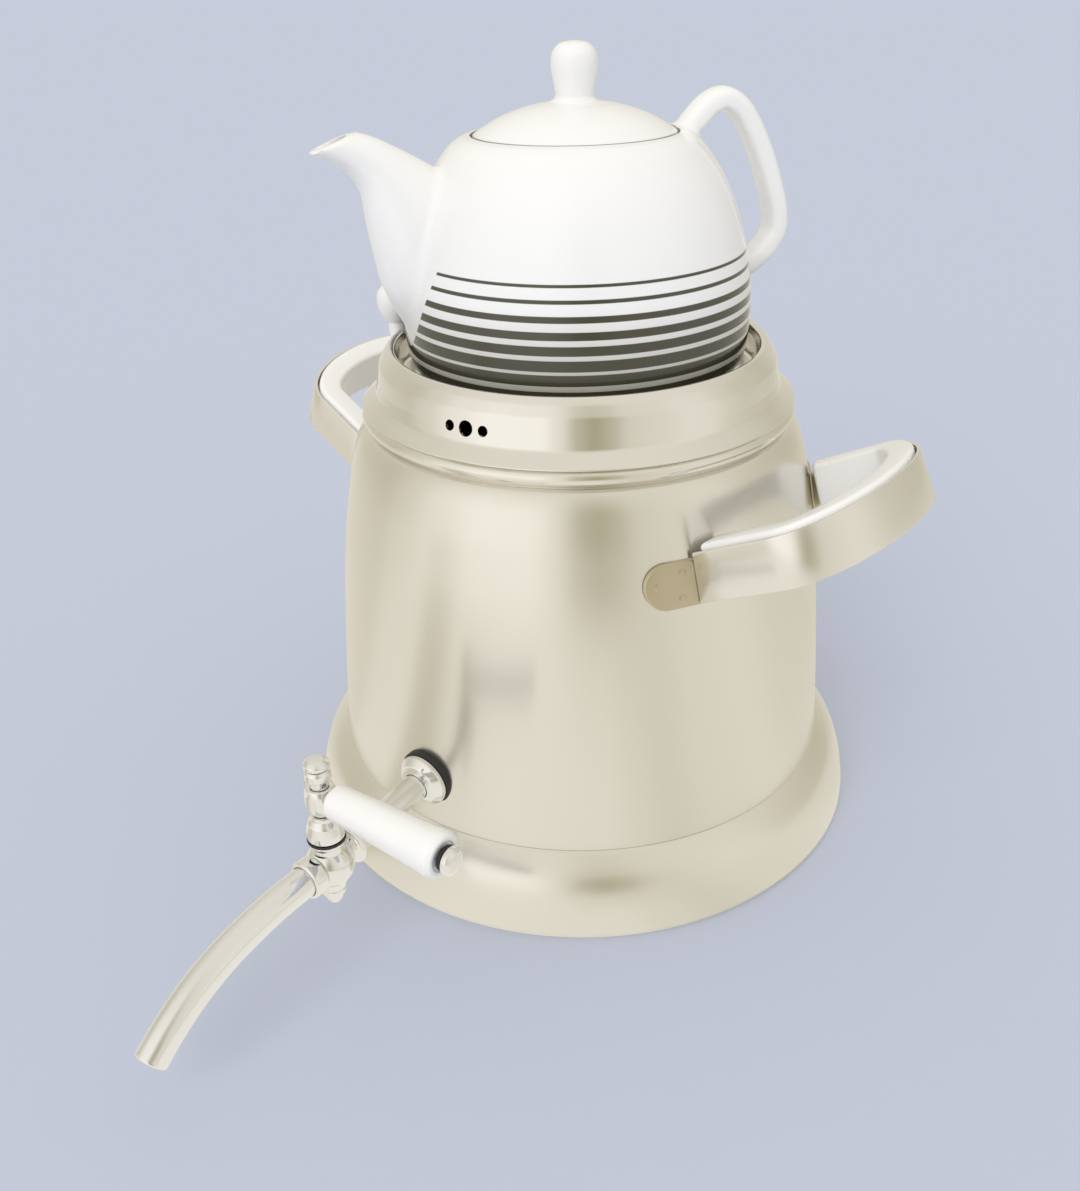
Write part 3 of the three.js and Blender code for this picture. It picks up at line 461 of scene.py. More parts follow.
def cut(piece, tool, solver="EXACT"):
    """Takes the tool's solid out of the piece."""
    change = piece.modifiers.new("cut", "BOOLEAN")
    change.operation = "DIFFERENCE"
    change.solver = solver
    change.object = tool
    applied(piece)
    bpy.data.objects.remove(tool)
    return piece


def bevelled(piece, width, segments):
    change = piece.modifiers.new("bevel", "BEVEL")
    change.width = width * MM
    change.segments = segments
    change.limit_method = "ANGLE"
    change.angle_limit = BEVEL_FROM
    return applied(piece)


def dress(piece, material, body, slot, *nodes, sharp=SHARP):
    """Gives the piece its finish, says which body it rides and hides the nodes it stands for."""
    piece.data.materials.clear()
    piece.data.materials.append(material)
    piece.data.shade_smooth()
    piece.data.set_sharp_from_angle(angle=sharp)
    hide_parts(*nodes)
    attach(piece, body)
    return piece


# Materials

def new_material(name, colour, metallic, roughness):
    material = bpy.data.materials.new(name)
    material.use_nodes = True
    shader = material.node_tree.nodes["Principled BSDF"]
    shader.inputs["Base Color"].default_value = (*colour, 1)
    shader.inputs["Metallic"].default_value = metallic
    shader.inputs["Roughness"].default_value = roughness
    return material, material.node_tree, shader


def math_node(tree, operation, first, second=None):
    node = tree.nodes.new("ShaderNodeMath")
    node.operation = operation
    for slot_index, value in enumerate((first, second)):
        if value is None:
            continue
        if isinstance(value, (int, float)):
            node.inputs[slot_index].default_value = value
        else:
            tree.links.new(value, node.inputs[slot_index])
    return node.outputs[0]


def held(tree, value):
    """The value kept between 0 and 1."""
    node = tree.nodes.new("ShaderNodeClamp")
    tree.links.new(value, node.inputs["Value"])
    return node.outputs[0]


def clamped(tree, value, low, high):
    """0 at low, 1 at high, and level outside them."""
    node = tree.nodes.new("ShaderNodeMapRange")
    node.inputs["From Min"].default_value = low
    node.inputs["From Max"].default_value = high
    tree.links.new(value, node.inputs["Value"])
    return node.outputs[0]


def mixed(tree, factor, first, second):
    """The first colour at factor 0, the second at 1."""
    node = tree.nodes.new("ShaderNodeMix")
    node.data_type = "RGBA"
    for socket, value in ((node.inputs["A"], first), (node.inputs["B"], second)):
        if isinstance(value, tuple):
            socket.default_value = (*value, 1)
        else:
            tree.links.new(value, socket)
    tree.links.new(factor, node.inputs["Factor"])
    return node.outputs["Result"]


def object_axes(tree):
    place = tree.nodes.new("ShaderNodeTexCoord")
    split = tree.nodes.new("ShaderNodeSeparateXYZ")
    tree.links.new(place.outputs["Object"], split.inputs[0])
    return place.outputs["Object"], split.outputs


def from_axis(tree, axes):
    """Distance from the Z axis."""
    squares = [math_node(tree, "MULTIPLY", axes[letter], axes[letter]) for letter in "XY"]
    return math_node(tree, "SQRT", math_node(tree, "ADD", *squares))


def turned_axes(tree, axes, azimuth):
    """Place along the direction at that azimuth, and to its left."""
    along = math_node(
        tree, "ADD", math_node(tree, "MULTIPLY", axes["X"], math.cos(azimuth)),
        math_node(tree, "MULTIPLY", axes["Y"], math.sin(azimuth)))
    left = math_node(
        tree, "SUBTRACT", math_node(tree, "MULTIPLY", axes["Y"], math.cos(azimuth)),
        math_node(tree, "MULTIPLY", axes["X"], math.sin(azimuth)))
    return along, left


def uneven(tree, shader, place, scale, detail, strength, depth):
    """A slow swell of the surface."""
    swell = tree.nodes.new("ShaderNodeTexNoise")
    swell.inputs["Scale"].default_value = scale
    swell.inputs["Detail"].default_value = detail
    tree.links.new(place, swell.inputs["Vector"])
    relief = tree.nodes.new("ShaderNodeBump")
    relief.inputs["Strength"].default_value = strength
    relief.inputs["Distance"].default_value = depth
    tree.links.new(swell.outputs["Fac"], relief.inputs["Height"])
    tree.links.new(relief.outputs[0], shader.inputs["Normal"])


def steel(name, colour, roughness, spread, along, across, bump, slow, drawn=0.0, polished_from=0.0):
    """Steel with fine marks: along and across are marks per metre up and round the piece.

    The roughness spreads about its level, bump and slow are the strength and the scale of a swell,
    drawn is the anisotropy, and above polished_from, where it is given, the steel is polished.
    """
    material, tree, shader = new_material(name, colour, 1.0, roughness)
    if drawn > 0:
        shader.inputs["Anisotropic"].default_value = drawn
        shader.inputs["Anisotropic Rotation"].default_value = 0.25
        around = tree.nodes.new("ShaderNodeTangent")
        around.direction_type = "RADIAL"
        around.axis = "Z"
        tree.links.new(around.outputs[0], shader.inputs["Tangent"])
    place, axes = object_axes(tree)
    stretch = tree.nodes.new("ShaderNodeMapping")
    stretch.inputs["Scale"].default_value = (across, across, along)
    tree.links.new(place, stretch.inputs["Vector"])
    marks = tree.nodes.new("ShaderNodeTexNoise")
    marks.inputs["Scale"].default_value = 1.0
    marks.inputs["Detail"].default_value = 4.0
    tree.links.new(stretch.outputs[0], marks.inputs["Vector"])
    level = tree.nodes.new("ShaderNodeMapRange")
    level.inputs["To Min"].default_value = roughness - spread
    level.inputs["To Max"].default_value = roughness + spread
    tree.links.new(marks.outputs["Fac"], level.inputs["Value"])
    finish = level.outputs[0]
    if polished_from > 0:
        above = clamped(tree, axes["Z"], polished_from, polished_from + MM)
        smoother = math_node(tree, "MULTIPLY", above, roughness - POLISHED)
        finish = math_node(tree, "SUBTRACT", finish, smoother)
    tree.links.new(finish, shader.inputs["Roughness"])
    if bump > 0:
        uneven(tree, shader, place, slow, 1.0, bump, MM)
    return material


def glazed(name, colour, roughness, scale, bump):
    """A smooth glossy surface with a faint unevenness."""
    material, tree, shader = new_material(name, colour, 0.0, roughness)
    shader.inputs["Coat Weight"].default_value = 0.3
    shader.inputs["Coat Roughness"].default_value = 0.05
    place, axes = object_axes(tree)
    uneven(tree, shader, place, scale, 2.0, bump, MM / 2)
    return material, tree, shader, axes


def striped(name):
    """Glazed porcelain with olive bands, which end on a slanted line at the spout's root, and painted shade
    that darkens the white towards the foot.
    """
    material, tree, shader, axes = glazed(name, PORCELAIN_COLOUR, 0.08, 30, 0.06)
    height = axes["Z"]
    total = None
    for middle, thickness in STRIPES:
        away = math_node(tree, "ABSOLUTE", math_node(tree, "SUBTRACT", height, middle * MM))
        inside = math_node(tree, "SUBTRACT", thickness / 2 * MM, away)
        band = held(tree, math_node(tree, "MULTIPLY", inside, 1 / (STRIPE_EDGE * MM)))
        total = band if total is None else math_node(tree, "ADD", total, band)
    out, side = turned_axes(tree, axes, POT_TURN)
    # The bands stop at a curve that opens upward from the root's foot, in mm across per root of mm up
    above = math_node(tree, "MAXIMUM", math_node(tree, "SUBTRACT", height, ROOT_FOOT * MM), 0.0)
    reach = math_node(tree, "MULTIPLY", math_node(tree, "SQRT", above), ROOT_FLARE * math.sqrt(MM))
    soft = 1 / (ROOT_EDGE * MM)
    beside_root = math_node(tree, "SUBTRACT", math_node(tree, "ABSOLUTE", side), reach)
    clear = math_node(tree, "MULTIPLY", beside_root, soft)
    behind = math_node(tree, "MULTIPLY", out, -soft)
    on_pot = math_node(tree, "SUBTRACT", (POT_RADIUS + POT_SKIN) * MM, from_axis(tree, axes))
    free = math_node(tree, "MAXIMUM", clear, behind)
    free = held(tree, math_node(tree, "MINIMUM", free, math_node(tree, "MULTIPLY", on_pot, soft)))
    mask = held(tree, math_node(tree, "MULTIPLY", total, free))
    # Painted shade: the white between the bands darkens towards the pot's foot
    shaded_white = mixed(tree, clamped(tree, height, PAINTED_SHADE_TOP * MM, PAINTED_SHADE_FOOT * MM), PORCELAIN_COLOUR, LOW_PAINTED_SHADE)
    tree.links.new(mixed(tree, mask, shaded_white, STRIPE_COLOUR), shader.inputs["Base Color"])
    return material


def edge_shadowed(name):
    """Glazed porcelain with a painted shadow ring at the lid's edge, for the shade in the gap where the lid
    sits in the pot's mouth.
    """
    material, tree, shader, axes = glazed(name, PORCELAIN_COLOUR, 0.08, 30, 0.06)
    start = MOUTH_RADIUS - EDGE_SHADOW_INSET
    share = clamped(tree, from_axis(tree, axes), start * MM, (start + EDGE_SHADOW_SOFTNESS) * MM)
    tree.links.new(mixed(tree, share, PORCELAIN_COLOUR, EDGE_SHADOW_COLOUR), shader.inputs["Base Color"])
    return material


satin = steel("satin_steel_look", SATIN_COLOUR, 0.25, 0.02, 30, 240, 0.1, 14, 0.6, NECK_HEIGHT * MM)
# The brackets are the strap's bright steel; their darker, browner colour is painted shade
plate_shaded_finish = steel("plate_steel_shaded_look", PLATE_SHADED_COLOUR, 0.36, 0.04, 200, 200, 0, 20)
bright = steel("bright_steel_look", BRIGHT_COLOUR, 0.13, 0.02, 40, 200, 0.04, 25)
strap_finish = steel("strap_steel_look", BRIGHT_COLOUR, 0.23, 0.02, 40, 200, 0.04, 25)
chrome = steel("tap_chrome_look", CHROME_COLOUR, 0.055, 0.02, 300, 300, 0, 20)
plastic, _, _, _ = glazed("grip_plastic_look", PLASTIC_COLOUR, 0.22, 60, 0.04)
porcelain = striped("porcelain_striped_shaded_look")
# The lid's glaze carries a painted shadow ring at its edge
lid_shadowed_glaze = edge_shadowed("porcelain_edge_shadow_look")
rubber = steel("seal_rubber_look", RUBBER_COLOUR, 0.55, 0.1, 400, 400, 0, 20)
rubber.node_tree.nodes["Principled BSDF"].inputs["Metallic"].default_value = 0.0

# Kettle body and base pan
wall_path = [
    (lerp(SEAM_RADIUS, NECK_RADIUS, inward), lerp(SEAM_HEIGHT, NECK_HEIGHT, rise))
    for inward, rise in WALL_SHARES
]


def wall_radius(height):
    """The kettle's outer radius at a height."""
    return float(np.interp(height, [p[1] for p in wall_path], [p[0] for p in wall_path]))


wall_line = [tuple(p) for p in smooth_line(wall_path, 6)]
wall_line[0] = (SEAM_RADIUS, SEAM_HEIGHT + SEAM_GAP / 2)
bead_middle = (BEAD_RADIUS - BEAD_ROLL, RIM_HEIGHT - BEAD_ROLL)
bead = [
    (
        bead_middle[0] + BEAD_ROLL * math.cos(math.radians(a)),
        bead_middle[1] + BEAD_ROLL * math.sin(math.radians(a)),
    )
    for a in range(-70, 245, 15)
]
inner_line = beside(wall_line, -WALL)
shell_profile = filleted([*wall_line[:-1], (NECK_RADIUS, NECK_HEIGHT - 0.2, 0.4)], 0) + bead
shell_profile += list(reversed(inner_line))
kettle_shell = mesh_object("kettle_shell", turned(shell_profile, LARGE, loop=True))
dress(kettle_shell, satin, "kettle", "satin_steel", "kettle_body")

flare_path = [
    (lerp(SEAM_RADIUS, BASE_RADIUS, out), lerp(SEAM_HEIGHT - SEAM_GAP / 2, FOOT_HEIGHT, down))
    for out, down in FLARE_SHARES
]
flare_line = [tuple(p) for p in smooth_line(flare_path, 8)]
foot_inner = BASE_RADIUS - FOOT_WIDTH
lap_top = SEAM_HEIGHT + LAP_HEIGHT
lap_radius = wall_radius(lap_top) - WALL - GAP
pan_profile = filleted([
    (0, PAN_RECESS), (foot_inner - WALL, PAN_RECESS), (foot_inner, 0, 0.5), (BASE_RADIUS - 1.6, 0, 1.4),
    (BASE_RADIUS, 2.2, 1.2),
], 0.5)
pan_profile += list(reversed(flare_line))
pan_profile += filleted([
    (SEAM_RADIUS - 0.3, SEAM_HEIGHT - SEAM_GAP / 2), (lap_radius, SEAM_HEIGHT - 0.6), (lap_radius, lap_top),
    (lap_radius - WALL, lap_top), (lap_radius - WALL, SEAM_HEIGHT - WALL - 1),
], 0.3)
pan_profile += [(p[0] - 0.7, p[1] - 0.8) for p in flare_line[4:-4]]
pan_profile += [(BASE_RADIUS - WALL - 0.6, PAN_RECESS + WALL), (0, PAN_RECESS + WALL)]
base_shell = mesh_object("base_shell", turned(pan_profile, LARGE))
dress(base_shell, satin, "kettle", "satin_steel", "base_pan")

# Side handles. In the handle's frame X runs out along the arm, Y across and Z square to the arm
mount_radius = wall_radius(MOUNT_HEIGHT)
strap_start = math.sqrt((mount_radius + STANDOFF) ** 2 - END_HALF_WIDTH**2) - mount_radius
strap_path = [(strap_start / math.cos(TILT), -END_HALF_WIDTH)]
for k in range(BEND_STEPS + 1):
    angle = math.pi * k / BEND_STEPS
    strap_path.append((REACH - BEND + BEND * math.sin(angle), -HALF_WIDTH * math.cos(angle)))
strap_path.append((strap_path[0][0], END_HALF_WIDTH))
grip_outer = beside(strap_path, -(STRAP_THICKNESS + GRIP_GAP))
strap_path = evened(strap_path, BEND_SPACING, BARE_ARM)
inset = GRIP_INSET / (grip_outer[1][0] - grip_outer[0][0])
grip_outer[0] = tuple(lerp(grip_outer[0][i], grip_outer[1][i], inset) for i in range(2))
grip_outer[-1] = (grip_outer[0][0], -grip_outer[0][1])
grip_outer = evened(grip_outer, BEND_SPACING, BARE_ARM)
grip_inner = beside(grip_outer, -GRIP_THICKNESS)
leg_middle = abs(grip_outer[0][1]) - LEG_INSET
leg_end = grip_outer[0][0] + LEG_LENGTH - GRIP_INSET


def handle_frame(turn):
    """The frame of the side handle at that turn round the kettle."""
    return (
        Matrix.Rotation(turn, 4, "Z") @ Matrix.Translation((mount_radius, 0, MOUNT_HEIGHT))
        @ Matrix.Rotation(-TILT, 4, "Y")
    )


def clear_start(x, y, z, standoff=STANDOFF):
    """The least X at that Y and Z that stands off the kettle's wall."""
    place = handle_frame(0)
    low = x - SEARCH_SPAN
    high = x + SEARCH_SPAN
    for _ in range(SEARCH_STEPS):
        middle = (low + high) / 2
        at = place @ Vector((middle, y, z))
        if math.hypot(at.x, at.y) > wall_radius(at.z) + standoff:
            high = middle
        else:
            low = middle
    return high


def swept(outer, inner, low, high, follow=False):
    """A bar of rectangular section between two paths. Its ends clear the kettle's wall, or follow it."""
    rings = []
    for i, (a, b) in enumerate(zip(outer, inner)):
        ring = [(*a, low), (*a, high), (*b, high), (*b, low)]
        if i in (0, len(outer) - 1):
            ring = [(clear_start(*p) if follow else max(p[0], clear_start(*p)), p[1], p[2]) for p in ring]
        rings.append(ring)
    return lofted(rings)


def on_wall(azimuth, across, height, lift):
    """A point on the kettle's wall, at a place across from an azimuth, lifted off the wall."""
    radius = wall_radius(height) + lift
    out = math.sqrt(radius**2 - across**2)
    return (
        out * math.cos(azimuth) - across * math.sin(azimuth),
        out * math.sin(azimuth) + across * math.cos(azimuth), height,
    )


def plate_shape(azimuth, side):
    """The bracket's plate: half round at its far end, a soft edge, lying on the wall."""
    half = PLATE_HEIGHT / 2
    middle = PLATE_WIDTH - half
    outline = [(0, -half), *[
        (middle + half * math.sin(math.radians(a)), -half * math.cos(math.radians(a)))
        for a in range(0, 181, 10)
    ], (0, half)]
    centre = PLATE_WIDTH / 2
    rings = []
    for scale, lift in (
        (0.5, GAP), (1, GAP), (1, GAP + PLATE_THICKNESS - 0.35), (0.975, GAP + PLATE_THICKNESS - 0.08),
        (0.94, GAP + PLATE_THICKNESS), (0.5, GAP + PLATE_THICKNESS),
    ):
        rings.append([
            on_wall(azimuth, side * lerp(centre, u, scale), PLATE_RISE + v * scale, lift)
            for u, v in outline
        ])
    return lofted(rings)


def dimple_shape(azimuth, side, across, rise):
    """A shallow weld mark on the plate."""
    rings = []
    for radius, lift in ((1.5, -0.2), (1.5, 0.0), (1.15, 0.16), (0.5, 0.24)):
        rings.append([
            on_wall(
                azimuth, side * (across + radius * math.cos(math.radians(a))),
                PLATE_RISE + rise + radius * math.sin(math.radians(a)), GAP + PLATE_THICKNESS + lift)
            for a in range(0, 360, 30)
        ])
    return lofted(rings)


strap_inner = beside(strap_path, -STRAP_THICKNESS)
strap_shape = swept(strap_path, strap_inner, -STRAP_HEIGHT / 2, STRAP_HEIGHT / 2, True)
grip_low = -STRAP_HEIGHT / 2 + GAP
grip_high = STRAP_HEIGHT / 2 + GRIP_PROUD
grip_shape = swept(grip_outer, grip_inner, grip_low, grip_high)
leg_angle = math.asin((leg_middle + PLATE_THICKNESS / 2) / mount_radius)
leg_lift = GAP + PLATE_THICKNESS / 2
for side_name, turn, front_side in HANDLES:
    place = handle_frame(turn)
    strap = mesh_object(f"strap_{side_name}", placed(strap_shape, place))
    bevelled(strap, STRAP_ROUNDING, 2)
    dress(strap, strap_finish, "kettle", "bright_steel", f"handle_strap_{side_name}", sharp=STRAP_SHARP)
    grip = mesh_object(f"grip_{side_name}", placed(grip_shape, place))
    bevelled(grip, GRIP_ROUNDING, 4)
    dress(grip, plastic, "kettle", "grip_plastic", f"handle_grip_{side_name}")
    for end, side in (("front", front_side), ("rear", -front_side)):
        azimuth = turn + side * leg_angle
        shapes = [plate_shape(azimuth, side)]
        shapes += [dimple_shape(azimuth, side, u, v) for u, v in WELDS]
        corners = [
            (side * leg_middle + y * PLATE_THICKNESS / 2, z * LEG_HEIGHT / 2)
            for y, z in ((-1, -1), (1, -1), (1, 1), (-1, 1))
        ]
        leg = [
            [(clear_start(strap_path[0][0], y, z, leg_lift), y, z) for y, z in corners],
            [(leg_end, y, z) for y, z in corners],
        ]
        shapes.append(placed(lofted(leg), place))
        piece = mesh_object(f"bracket_{side_name}_{end}", *shapes)
        dress(piece, plate_shaded_finish, "kettle", "bright_steel", f"handle_bracket_{side_name}_{end}")

# Tap, with Z out along the shank from the kettle's wall
tap_frame = (
    Matrix.Translation((0, -wall_radius(TAP_HEIGHT), TAP_HEIGHT))
    @ Matrix.Rotation(math.pi / 2 + DROOP, 4, "X")
)
ball_out = VALVE_OUT / math.cos(DROOP)
ball_place = tap_frame @ Vector((0, 0, ball_out))
valve_frame = Matrix.Translation(ball_place)
lever_frame = (
    valve_frame @ Matrix.Translation((0, 0, LEVER_RISE)) @ Matrix.Rotation(math.pi / 2, 4, "Y")
)
spout_frame = valve_frame @ Matrix.Rotation(math.pi / 2, 4, "X")


def fitting(name, material, body, slot, node, *parts):
    """A turned piece: each part is a frame, an outline, its rounding and whether it is a ring."""
    shapes = []
    for place, outline, radius, loop in parts:
        shapes.append(placed(turned(filleted(outline, radius, 4, loop), MEDIUM, loop), place))
    piece = mesh_object(name, *shapes)
    return dress(piece, material, body, slot, node)


ball_arc = [
    (BALL_RADIUS * math.cos(math.radians(a)), BALL_RADIUS * math.sin(math.radians(a)), 0)
    for a in range(-48, 50, 6)
]
fitting("tap_valve", chrome, "kettle", "tap_chrome", "tap_body",
        (valve_frame, [(0, -11), (4.5, -11, 0.4), (5.0, -9.4, 1.5), *ball_arc, (6.2, 7.6), (5.9, 9.2, 0.6),
                       (6.6, 10.2, 0.4), (6.6, 11.2, 0.4), (0, 11.2)], 0.8, False),
        (tap_frame, [(0, -16), (5.35, -16, 0.5), (5.35, 40.9, 0.4), (6.2, 41.3, 0.4), (7.7, 42.0, 0.6),
                     (7.7, 44.4, 0.8), (6.6, 45.2, 0.5), (5.8, 47, 0.5), (0, 47)], 0.4, False),
        (spout_frame, [(0, 0), (6.3, 0), (6.3, 6.6, 0.3), (0, 6.6)], 0.3, False))
fitting("flange_gasket", rubber, "kettle", "seal_rubber", "tap_outer_gasket",
        (tap_frame, [(5.6, -2), (11.7, -2), (11.7, 1.1), (5.6, 1.1)], 0.6, True))
fitting("flange_cone", chrome, "kettle", "tap_chrome", "tap_flange",
        (tap_frame, [(5.5, 1.3), (11, 1.3, 0.4), (11, 3.2, 0.9), (8.6, 5.8, 2), (5.5, 6.8, 0.3)], 0.3, True))
fitting("bonnet", chrome, "kettle", "tap_chrome", "valve_bonnet",
        (valve_frame, [(3.5, 12.8), (6.9, 12.8, 0.5), (6.9, 15.6, 1.8), (6.1, 19.4, 2.4), (4.7, 21.2, 1),
                       (4.5, 22.9, 0.4), (3.5, 22.9, 0.3)], 0.4, True))
fitting("bottom_ring", chrome, "tap_lever", "tap_chrome", "plug_ring",
        (valve_frame, [(1.9, -13.9), (4.3, -13.9), (4.3, -11.3), (1.9, -11.3)], 0.6, True))
fitting("bottom_cap", chrome, "tap_lever", "tap_chrome", "plug_cap",
        (valve_frame, [(0, -18.5), (1.5, -18.5, 0.6), (2.9, -16.6, 0.7), (3.1, -14.6, 0.5),
                       (2.4, -14.2, 0.2), (0, -14.2)], 0.5, False))
fitting("hub", chrome, "tap_lever", "tap_chrome", "lever_hub",
        (valve_frame, [(0, 24.3), (4.6, 24.3, 0.5), (5.7, 27.2, 2.6), (5.7, 32.4, 2.8), (4.9, 35.1, 0.9),
                       (0, 35.1)], 0.5, False),
        (lever_frame, [(0, 0), (2.6, 0), (2.6, 61), (0, 61)], 0.2, False))
fitting("collar", chrome, "tap_lever", "tap_chrome", "stem_collar",
        (valve_frame, [(3.4, 35.6), (3.7, 35.6, 0.2), (3.7, 37.9, 0.3), (4.7, 38.3, 0.8), (4.7, 41.2, 1.1),
                       (3.9, 42.4, 0.3), (3.4, 42.5)], 0.2, True))
fitting("finial", chrome, "tap_lever", "tap_chrome", "stem_finial",
        (valve_frame, [(0, 42.9), (3.8, 42.9, 0.2), (4.65, 43.4, 0.4), (4.65, 44.9, 1), (3.1, 46.3, 1.4),
                       (0, 46.75)], 0.5, False))
fitting("lever_handle", plastic, "tap_lever", "grip_plastic", "lever_grip",
        (lever_frame, [(2.9, 6.8), (5.4, 6.8, 0.8), (6.4, 8.2, 1.6), (8.0, 49, 10), (8.3, 52.6, 3),
                       (8.3, 55.9, 1.3), (7.0, 57.4, 0.7), (5.6, 57.45, 0.3), (5.2, 56.6, 0.2),
                       (2.9, 56.6)], 0.5, True))
fitting("end_washer", rubber, "tap_lever", "seal_rubber", "lever_washer",
        (lever_frame, [(2.9, 57.8), (4.55, 57.8), (4.55, 59.2), (2.9, 59.2)], 0.2, True))
fitting("end_nut", chrome, "tap_lever", "tap_chrome", "lever_end_nut",
        (lever_frame, [(0, 59.5), (4.4, 59.5, 0.2), (5, 59.9, 0.4), (5, 61.9, 1), (3.6, 62.9, 1.2),
                       (0, 63.05)], 0.4, False))
fitting("spout_ring", chrome, "kettle", "tap_chrome", "spout_collar",
        (spout_frame, [(5.95, 7.3), (7.3, 7.3), (7.3, 12.6), (6.6, 13), (5.95, 13)], 0.6, True))

spout_line = smooth_line(
    [(0, ball_place.y - 8.2, ball_place.z)]
    + [(0, ball_place.y - out * SPOUT_REACH, ball_place.z - down * SPOUT_DROP)
       for out, down in SPOUT_SHARES], 10)


def tube_ring(index, radius, shift=0.0):
    """A round section of the tap's tube, shifted along it."""
    here, along = on_line(spout_line, index)
    lift = Vector((1, 0, 0)).cross(along)
    ring = []
    for side in range(TUBE_SIDES):
        angle = 2 * math.pi * side / TUBE_SIDES
        ring.append(
            here + along * shift + Vector((1, 0, 0)) * radius * math.cos(angle)
            + lift * radius * math.sin(angle))
    return ring


last = len(spout_line) - 1
tube = [tube_ring(i, TUBE_RADIUS) for i in range(last)]
tube += [tube_ring(last, radius, shift) for radius, shift in TUBE_LIP]
tube += [tube_ring(i, TUBE_BORE) for i in range(last - 2, 2, -3)]
spout_tube = mesh_object("spout_pipe", lofted(tube))
dress(spout_tube, chrome, "kettle", "tap_chrome", "spout_tube")

# Stand ring with its knob
outer_path = filleted(STAND_OUTLINE, 0.5, 6)
stand_profile = outer_path + filleted(SKIRT_OUTLINE, 0.3) + list(reversed(beside(outer_path, STAND_SHEET)))
stand_shell = mesh_object("stand_shell", turned(stand_profile, LARGE, loop=True))
for index, radius in enumerate(VENT_RADII):
    angle = VENT_TURN + (index - 1) * VENT_SPACING / STAND_WALL
    vent = placed(
        turned([(0, -VENT_DEPTH), (radius, -VENT_DEPTH), (radius, VENT_DEPTH), (0, VENT_DEPTH)], VENT_SIDES),
        Matrix.Rotation(angle, 4, "Z") @ Matrix.Translation((0, -STAND_WALL, STAND_FOOT + VENT_RISE))
        @ Matrix.Rotation(math.pi / 2, 4, "X"),
    )
    cut(stand_shell, mesh_object("vent", vent))
dress(stand_shell, bright, "stand", "bright_steel", "stand_ring")

knob_frame = Matrix.Rotation(KNOB_TURN, 4, "Z") @ Matrix.Translation((0, -KNOB_OUT, KNOB_FOOT))
knob_line = [tuple(p) for p in smooth_line([
    (3.95, 2.0), (5.6, 3.9), (7.3, 7.2), (7.95, 10.8), (7.4, 14.3), (5.2, 16.7), (2.4, 17.6), (0, 17.85),
], 6)]
knob_profile = [(0, -6), (3.6, -6), (3.9, -1), *knob_line]
stand_knob = mesh_object("stand_tulip_knob", placed(turned(knob_profile, SMALL), knob_frame))
dress(stand_knob, plastic, "stand", "grip_plastic", "stand_knob")

# Teapot, with the spout along +X and the handle along -X in its own frame
pot_frame = Matrix.Rotation(POT_TURN, 4, "Z") @ Matrix.Translation((0, 0, POT_BASE))
pot_path = smooth_line([(r * POT_RADIUS, z * POT_HEIGHT) for r, z in POT_SHARES], 8)
pot_profile = [(0, 0.6), (50, 0.6), (51.5, 0), *[tuple(p) for p in pot_path]]
pot_profile += [
    (MOUTH_RADIUS + 1.2, POT_HEIGHT - 0.25), (MOUTH_RADIUS + 0.2, POT_HEIGHT - 0.1), (0, POT_HEIGHT - 0.1),
]
pot_solid = placed(turned(pot_profile, POT_SIDES), pot_frame)


def spout_ring(shares, thinner, shift=0.0):
    """The pot spout's oval section, thinner all round by a distance and shifted along the spout."""
    up_out, up_high, low_out, low_high, wide = shares
    upper = Vector((up_out * POT_SPOUT_REACH, 0, up_high * POT_HEIGHT))
    lower = Vector((low_out * POT_SPOUT_REACH, 0, low_high * POT_HEIGHT))
    middle = (upper + lower) / 2
    half = (upper - middle).normalized() * ((upper - middle).length - thinner)
    across = Vector((0, wide * SPOUT_ROOT - thinner, 0))
    normal = half.cross(across).normalized()
    if normal.x < 0:
        normal = -normal
    return [
        middle + normal * shift + half * math.cos(2 * math.pi * s / SPOUT_SIDES)
        + across * math.sin(2 * math.pi * s / SPOUT_SIDES)
        for s in range(SPOUT_SIDES)
    ]


spout_table = [tuple(p) for p in smooth_line(POT_SPOUT_SHARES, 7)]
spout_rings = [spout_ring(s, 0) for s in spout_table[:-1]]
tip = spout_table[-1]
spout_rings += [spout_ring(tip, 0, -0.8), spout_ring(tip, 0.25, -0.25), spout_ring(tip, 0.9, 0)]
pot_spout = placed(lofted(spout_rings), pot_frame)

handle_line = smooth_line([(-o * POT_HANDLE_REACH, 0, h * POT_HEIGHT) for o, h in POT_HANDLE_SHARES], 8)


def grip_ring(index):
    """The pot handle's section, rounder outside than inside."""
    here, along = on_line(handle_line, index)
    outward_way = Vector((0, 1, 0)).cross(along)
    ring = []
    for side in range(TUBE_SIDES):
        angle = 2 * math.pi * side / TUBE_SIDES
        c = math.cos(angle)
        s = math.sin(angle)
        power = OUTSIDE_POWER if c > 0 else INSIDE_POWER
        depth = math.copysign(abs(c) ** power, c) * POT_HANDLE_THICKNESS / 2
        width = math.copysign(abs(s) ** SIDE_POWER, s) * POT_HANDLE_WIDTH / 2
        ring.append(here + outward_way * depth + Vector((0, 1, 0)) * width)
    return ring


pot_handle = placed(lofted([grip_ring(i) for i in range(len(handle_line))]), pot_frame)


def source_tree(shape):
    return BVHTree.FromPolygons([Vector(v) * MM for v in shape[0]], shape[1])


